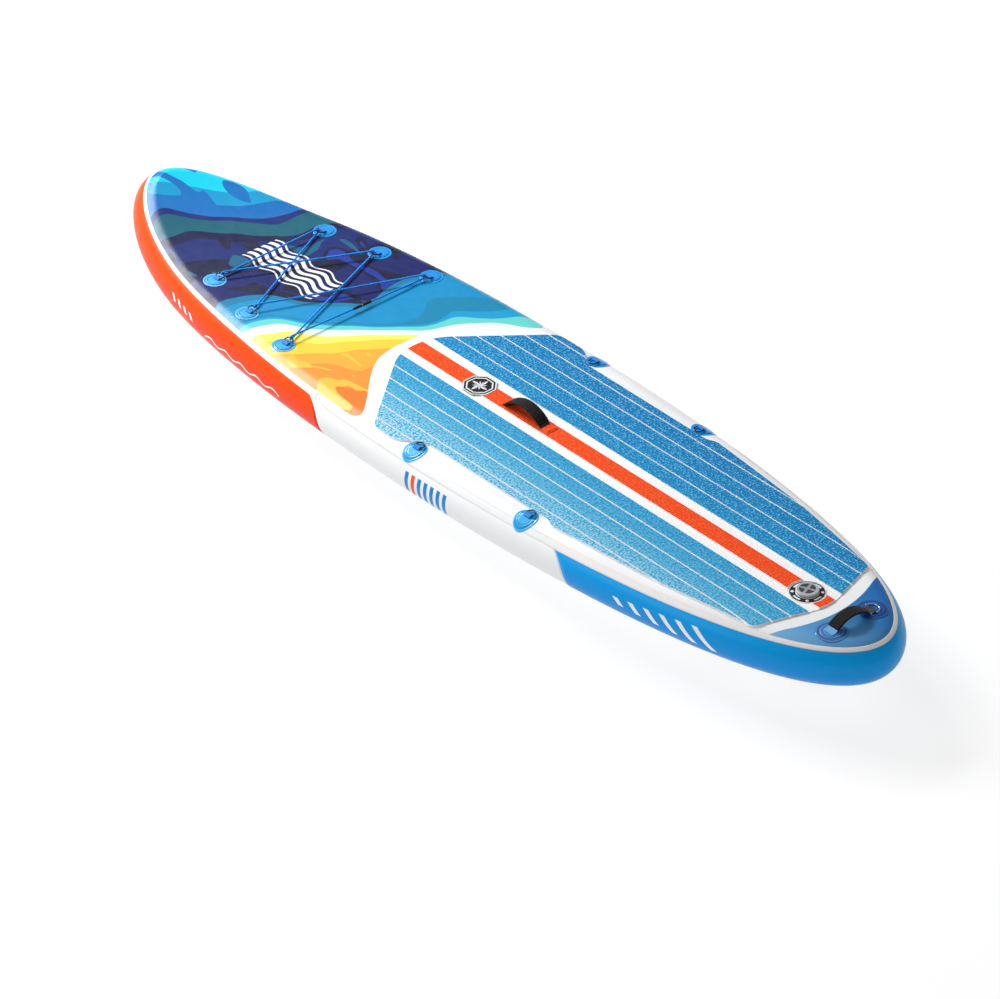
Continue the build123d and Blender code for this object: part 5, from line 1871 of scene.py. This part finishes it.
@dataclass
class Handles:
    """The middle handle with its anchors, and the tail handle with its patches and ring."""

    rings: RingStations
    centre_x: float = -0.134
    centre_half: float = 0.083
    stripe_top: float = 0.2752
    anchor_length: float = 0.034
    anchor_width: float = 0.048
    anchor_middle: float = 0.0194
    anchor_top: float = 0.2794
    tail_x: float = -1.524
    tail_patch_y: float = 0.080
    tail_patch_radius: float = 0.048
    tail_cover_radius: float = 0.034
    tail_bar_y: float = -0.075
    tail_tab_width: float = 0.039
    tail_tab_reach: float = 0.0120

    def anchor(self, name: str, foot_x: float, way: float, strap_width: float) -> Object:
        """A welded pad over the strap's tail.

        Its plan is a superellipse. Its height is that of a thin sheet, raised by a smooth
        step over the strap's width and dropped near the rim.

        Args:
            name: the new piece.
            foot_x: the handle's foot.
            way: 1 ahead and -1 aft.
            strap_width: the strap's width.

        Returns:
            The closed pad.
        """
        turn = full_turn(80)
        c, s = np.cos(turn), np.sin(turn)
        flat = np.stack([np.sign(c) * np.abs(c) ** 0.35 * self.anchor_length / 2,
                         np.sign(s) * np.abs(s) ** 0.35 * self.anchor_width / 2], 1)
        share = np.array([0, 0.25, 0.5, 0.7, 0.8, 0.86, 0.91, 0.95, 0.975, 0.99, 1.0])[:, None, None]
        plan = flat[None] * share
        bed = self.stripe_top + 0.0002
        over = np.clip((strap_width / 2 + 0.0022 - np.abs(plan[..., 1])) / 0.0030, 0, 1)
        over = over * over * (3 - 2 * over)
        tail = np.clip((0.55 * self.anchor_length - way * plan[..., 0] - 0.004) / 0.006, 0, 1)
        over = over * tail * tail * (3 - 2 * tail)
        rim = 1 - np.clip((share[..., 0] - 0.93) / 0.07, 0, 1) ** 3
        z = bed + 0.0014 * rim + (self.anchor_top - bed - 0.0014) * over * (0.4 + 0.6 * rim)
        x = foot_x + way * self.anchor_middle + plan[..., 0]
        top = np.stack([x, plan[..., 1], z], -1)
        under = np.stack([x[::-1], plan[::-1, :, 1], np.full(x.shape, bed)], -1)
        return shell(name, np.concatenate([top, under, top[:1]]), 50)

    def box_seam(self, name: str, foot_x: float, way: float) -> Object:
        """A box of stitches round an anchor's rim."""
        half_x, half_y = self.anchor_length / 2 - 0.0026, self.anchor_width / 2 - 0.0022
        middle = foot_x + way * self.anchor_middle
        nx, ny = 7, 11
        xs, ys = np.linspace(-half_x, half_x, nx), np.linspace(-half_y, half_y, ny)[1:-1]
        rows = [(xs, np.full(nx, side * half_y), (1.0, 0, 0)) for side in (-1, 1)]
        rows += [(np.full(ny - 2, side * half_x), ys, (0, 1.0, 0)) for side in (-1, 1)]
        z = self.stripe_top + 0.0016
        places = np.concatenate([np.stack([middle + x, y, np.full(len(x), z)], 1) for x, y, _ in rows])
        along = np.concatenate([np.tile(run, (len(x), 1)) for x, _, run in rows])
        return stitches(name, places, along, np.tile([0, 0, 1.0], (len(places), 1)), 0.0030, 0.0006)

    def centre(self) -> None:
        """The middle handle."""
        tape = WovenTape("centre_handle_tape", "24272b", "101214")
        middle, half = self.centre_x, self.centre_half
        handle = Handle("centre_handle", (middle, 0.0), (1.0, 0.0), -half, half, 0.2766, 0.037, tape)
        handle.build((0.029, 0.029), 5.0)
        feet = ((middle + half, 1.0), (middle - half, -1.0))
        pads = [self.anchor(f"anchor{k}", x, way, handle.strap_width) for k, (x, way) in enumerate(feet)]
        orange = bpy.data.materials["foam_orange"]
        finish_piece(joined("handle_anchor_pads", pads), orange, "handle_anchors")
        seams = [self.box_seam(f"box{k}", x, way) for k, (x, way) in enumerate(feet)]
        thread = Moulding("anchor_thread", "e04412", "e8501c", 0.5).build()
        finish_piece(joined("anchor_stitching", seams), thread)

    def tail(self) -> None:
        """The tail handle, its two welded patches, and the leash ring's tab."""
        tape = WovenTape("tail_handle_tape", "74b4ea", "4584c4", rib=0.0036)
        handle = Handle("tail_handle", (self.tail_x, 0.0), (0.0, 1.0), -0.058, 0.082, 0.2742, 0.030, tape)
        handle.build((0.0024, 0.014), 6.0)
        places = [(self.tail_x, side.value * self.tail_patch_y) for side in Side]
        # each disc's second colour is its painted rim and ring shade, port its painted lighter port tone
        self.rings.discs(places, (
            ("tail_patches", self.tail_patch_radius, 0.0005,
             WeldedDisc("tail_patch", "1459a6", "073a80", port="5490ca")),
            ("tail_patch_covers", self.tail_cover_radius, 0.0004,
             WeldedDisc("tail_cover", "1760b0", "083e88", port="5f9cd4")),
        ))
        tab = self.rings.loop(
            "leash_tab_webbing", self.tail_x, self.tail_bar_y, 1.0, self.tail_tab_width, self.tail_tab_reach
        )
        tape = WovenTape("leash_tape", "1a1c1f", "0c0d0f").build()
        finish_piece(tab, tape, "tail_ring_tab")

    def build(self) -> None:
        """Makes both handles."""
        self.centre()
        self.tail()


# ---- inflation valve
@dataclass
class InflationValve:
    """The valve's plate and return spring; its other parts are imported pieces."""

    x: float = VALVE_X
    flange_radius: float = 0.055
    flange_bore: float = 0.0183
    flange_low: float = 0.2702
    flange_top: float = 0.2732
    coil_radius: float = 0.0056
    coil_wire: float = 0.0006
    coil_low: float = 0.2528
    coil_high: float = 0.2682
    coil_turns: int = 5
    coil_keep: float = 0.69

    def flange(self) -> Object:
        """The flange: a turned plate with a raised rim, a groove and a chamfer."""
        top, low, rim, bore = self.flange_top, self.flange_low, self.flange_radius, self.flange_bore
        return turned("valve_plate", np.array([self.x, 0, 0]), np.array([0, 0, 1]), np.array([1, 0, 0]), [
            (low, bore), (top - 0.0003, bore), (top, bore + 0.0003), (top, 0.0325), (top - 0.0006, 0.0335),
            (top - 0.0006, 0.0350), (top, 0.0358), (top, rim - 0.0050), (top - 0.0007, rim - 0.0042),
            (top - 0.0007, rim - 0.0026), (top - 0.0002, rim - 0.0021), (top - 0.0004, rim - 0.0009),
            (top - 0.0012, rim - 0.0001), (low + 0.0004, rim), (low, rim - 0.0002),
        ], 128)

    def coil(self) -> Object:
        """The return spring under the button: round wire on a helix.

        After t turns, the middle line is at the coil's radius from the valve's axis, at t
        full circles round it, and has climbed its even share of the coil's height.
        """
        turn = 2 * np.pi * np.linspace(0, self.coil_turns, 36 * self.coil_turns + 1)
        outward = np.stack([np.cos(turn), np.sin(turn), 0 * turn], -1)
        climb = np.linspace(self.coil_low, self.coil_high, len(turn))
        path = np.array([self.x, 0, 0]) + self.coil_radius * outward + climb[:, None] * np.array([0, 0, 1])
        round_wire = rounded_section(2 * self.coil_wire, 2 * self.coil_wire, 2.0, 12)
        return carry("valve_coil", path, outward, round_wire)

    def polar(self, g: Graph) -> tuple[Field, Field, Field]:
        """How far ahead and to port of the valve's axis a point lies, and its radius."""
        x, y, _ = g.xyz()
        east = x - self.x
        return east, y, g.math("SQRT", east * east + y * y)

    def flange_finish(self) -> Material:
        """Black plate with pale rims and plain printed dots and dashes.

        Everything is a step of the radius from the axis, or of the turn about it.

        Returns:
            The material.
        """
        g = Graph("valve_plate_print")
        east, y, radius = self.polar(g)
        turn = g.math("ARCTAN2", y, east) / (2 * math.pi)
        quarter = abs(g.math("FRACT", turn * 4.0) - 0.5)
        arc = quarter * radius * (math.pi / 2)
        off = radius - 0.0435
        dot = g.math("SQRT", off * off + arc * arc)
        dots = g.rise(dot, 0.0052, 0.0048)
        eighth = abs(g.math("FRACT", turn * 4.0 + 0.5) - 0.5)
        dash = g.rise(eighth, 0.20, 0.19) * g.rise(abs(off), 0.0034, 0.0030)
        pale = g.math("MAXIMUM", dots, dash)
        rims = g.math("MAXIMUM", g.rise(radius, 0.0352, 0.0346), g.rise(radius, 0.0516, 0.0522))
        pale = g.math("MAXIMUM", pale, rims)
        g.coat(
            Base_Color=g.mix(pale, "0f1113", "eef0f1"),
            Roughness=0.42,
            Normal=g.relief(g.noise(1500.0, 2.0), 0.00006, 0.6),
        )
        return g.material

    def cap_finish(self) -> Material:
        """Grey moulded cap: a pale rim round a recess that a crossed grip spans, with the recess painted dark
        grey and a groove painted darker as shade.

        Bands are steps of the radius. An arm of the cross is where the point's distance
        from one of two slanting lines through the axis is small.

        Returns:
            The material.
        """
        g = Graph("valve_cap_grey")
        east, y, radius = self.polar(g)
        sunk = g.rise(radius, 0.0258, 0.0246)
        first = abs(east * 0.94 + y * 0.34)
        second = abs(east * 0.42 + y * -0.91)
        arm = g.rise(g.math("MINIMUM", first, second), 0.0046, 0.0036)
        groove = g.rise(abs(radius - 0.0285), 0.0009, 0.0004)
        height = g.math("MAXIMUM", 1.0 - sunk, arm) - groove
        marks = g.noise(60.0, 4.0, 1.0)
        pale = g.mix(g.rise(marks, 0.45, 0.8), "d3d7da", "aab0b5")
        grip = g.mix(g.rise(marks, 0.4, 0.7), "a2a8ad", "7e848a")
        # painted shade: the recess is dark between the paler grip arms, and the groove darker still
        tone = g.mix(sunk, pale, g.mix(arm, "3c4146", grip))
        g.coat(
            Base_Color=g.mix(groove, tone, "4a4f54"),
            Roughness=0.34,
            Normal=g.relief(height, 0.0012, 0.9),
        )
        return g.material

    def build(self) -> None:
        """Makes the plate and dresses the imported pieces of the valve."""
        finish_piece(self.flange(), self.flange_finish(), "valve_flange")
        dress_node("valve_cap", self.cap_finish())
        mouldings = (
            ("valve_body", Moulding("valve_housing", "3a3e42", "54585c")),
            ("valve_nut", Moulding("valve_ring_nut", "2b2e31", "43474b")),
            ("valve_gasket", Moulding("valve_rubber", "191a1b", "2d2e30", 0.7, 700.0)),
            ("valve_poppet", Moulding("poppet_rubber", "1d1e20", "35363a", 0.65, 800.0)),
            ("valve_stem", Moulding("stem_white", "d8dcde", "b6babd", 0.3)),
        )
        for node, finish in mouldings:
            dress_node(node, finish.build())
        wire = PlatedWire("spring_wire", "b9bec3", gloss=0.2).build()
        coil = finish_piece(self.coil(), wire, "valve_spring")
        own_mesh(coil)


# ---- fins and inner threads
@dataclass
class FinSet:
    """The finish of the fins and their box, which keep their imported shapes."""

    def fin_finish(self, name: str) -> Material:
        """Glass filled nylon: satin black with flow marks and paler scuffs at the edges."""
        g = Graph(name)
        x, y, z = g.xyz()
        flow = g.noise(1.0, 4.0, 1.2, at=g.join(x * 8.0, y * 60.0, z * 30.0))
        scuffs = g.noise(90.0, 5.0, 0.8)
        tip = g.rise(z, 0.035, 0.0)
        worn = g.rise(scuffs, 0.52, 0.72) * (tip * 0.7 + 0.25)
        g.coat(
            Base_Color=g.mix(worn, g.mix(g.rise(flow, 0.3, 0.7), "141518", "202226"), "4a4d52"),
            Roughness=g.rise(flow, 0.2, 0.8, 0.34, 0.48),
            Normal=g.relief(g.noise(1300.0, 2.0), 0.00005, 0.5),
        )
        return g.material

    def build(self) -> None:
        """Dresses the fins, the box, its screw and the threads inside the hull."""
        nylon = self.fin_finish("fin_nylon")
        for node in ("centre_fin", "side_fin_port", "side_fin_starboard"):
            dress_node(node, nylon)
        others = (
            ("fin_box", Moulding("fin_box_black", "17181a", "2e3033", 0.38)),
            # its second colour paints shade in a pressed ring and at the edge
            ("fin_base_plate", WeldedDisc("fin_plate_white", "eef0f1", "dde1e4", 0.4)),
            ("fin_screw", PlatedWire("fin_screw_steel", "b4b9be", gloss=0.22)),
            ("fin_nut_plate", PlatedWire("fin_nut_brass", "c9a45c", "a88444", 0.25)),
            ("drop_stitch_threads", WovenThread("drop_thread", "e6e4de", "cfccc4")),
        )
        for node, finish in others:
            dress_node(node, finish.build())


@dataclass(frozen=True)
class WovenThread:
    """Polyester thread between the hull's two sheets."""

    name: str
    code: str
    dark: str
    pitch: float = 0.002

    def build(self) -> Material:
        """A twist along the height, as a sine of z plus x and y."""
        g = Graph(self.name)
        x, y, z = g.xyz()
        twist = g.waves(x + y + z, self.pitch)
        # painted shade: darker in the twist's grooves, where its bump is low
        g.coat(
            Base_Color=g.mix(g.rise(twist, -0.6, 0.6), self.dark, self.code),
            Roughness=0.7,
            Normal=g.relief(twist, 0.0002, 0.6),
        )
        return g.material


# ---- studio
@dataclass
class Studio:
    """A pale floor, soft lights and the camera."""

    location: tuple[float, float, float] = (-10.159, 8.898, 9.171)
    direction: tuple[float, float, float] = (0.61983, -0.54358, -0.56598)
    lens: float = 193.64
    sensor: float = 36.0
    floor_half: float = 30.0
    floor_tone: str = "939394"
    floor_glow: float = 0.76
    sky_strength: Pair = (0.22, 0.56)
    sky_rise: Pair = (0.60, 0.96)
    lamp_far: float = 9.0

    def camera(self) -> None:
        """Stands the camera where the board is seen from behind its port quarter."""
        data = bpy.data.cameras.new("studio_camera")
        data.lens = self.lens
        data.sensor_width = self.sensor
        data.sensor_fit = "HORIZONTAL"
        data.clip_end = 200.0
        camera = place_data("studio_camera", data)
        camera.location = self.location
        camera.rotation_mode = "QUATERNION"
        camera.rotation_quaternion = Vector(self.direction).to_track_quat("-Z", "Y")
        bpy.context.scene.camera = camera

    def floor(self) -> None:
        """A wide flat floor under the fins."""
        line = np.linspace(-self.floor_half, self.floor_half, 9)
        x, y = np.meshgrid(line, line, indexing="ij")
        points = np.stack([x, y, np.zeros_like(x)], -1).reshape(-1, 3)
        floor = make_piece("studio_floor", points, grid_faces(9, 9))
        face_away(floor, (0.0, 0.0, -1.0))
        g = Graph("floor_white")
        g.coat(
            Base_Color=self.floor_tone,
            Roughness=0.9,
            Specular_IOR_Level=0.0,
            Emission_Color="ffffff",
            Emission_Strength=self.floor_glow,
        )
        floor.data.materials.append(g.material)

    def lamp(self, name: str, place: Vector, aim: Vector, size: Pair, power: float) -> None:
        """Adds a soft rectangular lamp that points at a place."""
        data = bpy.data.lights.new(name, "AREA")
        data.shape = "RECTANGLE"
        data.size, data.size_y = size
        data.energy = power
        lamp = place_data(name, data)
        lamp.location = place
        lamp.rotation_mode = "QUATERNION"
        lamp.rotation_quaternion = (aim - place).to_track_quat("-Z", "Y")

    def sky(self) -> None:
        """A white surround, brighter overhead by a smooth step of the height."""
        world = bpy.data.worlds.new("studio_white")
        world.use_nodes = True
        tree = world.node_tree
        back = tree.nodes["Background"]
        back.inputs["Color"].default_value = (1.0, 1.0, 1.0, 1.0)
        place = tree.nodes.new("ShaderNodeTexCoord")
        split = tree.nodes.new("ShaderNodeSeparateXYZ")
        tree.links.new(place.outputs["Generated"], split.inputs[0])
        step = tree.nodes.new("ShaderNodeMapRange")
        step.interpolation_type = "SMOOTHSTEP"
        names = ("From Min", "From Max", "To Min", "To Max")
        for name, value in zip(names, self.sky_rise + self.sky_strength):
            step.inputs[name].default_value = value
        tree.links.new(split.outputs["Z"], step.inputs["Value"])
        tree.links.new(step.outputs["Result"], back.inputs["Strength"])
        bpy.context.scene.world = world

    def build(self) -> None:
        """Sets up the floor, the lights and the camera."""
        self.floor()
        self.sky()
        middle = Vector((0.5, 0.05, HULL.deck_z))
        lamps = (
            ("key_light", middle + self.lamp_far * Vector((0.715, -0.205, 0.669)), (1.6, 1.2), 235.0),
            ("shoulder_light", middle + self.lamp_far * Vector((0.772, 0.135, 0.621)), (4.4, 2.8), 830.0),
            ("port_light", Vector((1.5, 6.0, 3.0)), (4.0, 2.0), 90.0),
        )
        for name, place, size, power in lamps:
            self.lamp(name, place, middle, size, power)
        self.camera()
        view = bpy.context.scene.view_settings
        view.view_transform = "Standard"
        view.look = "None"
        view.exposure = 0.0


def corners(box: tuple[Vector, Vector]) -> list[list[float]]:
    """A box as plain lists of numbers."""
    return [list(corner) for corner in box]


def main() -> None:
    """Builds every part of the looks in order."""
    logging.basicConfig(level=logging.INFO, format="%(name)s: %(message)s")
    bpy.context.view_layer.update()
    Studio().build()
    rings = RingStations()
    LacedCord(rings).build()
    rings.build()
    HullSkins().build()
    DeckPad().build()
    Handles(rings).build()
    InflationValve().build()
    FinSet().build()
    log.info("built the looks of %d packed pieces", len(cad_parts))


if __name__ == "__main__":
    main()
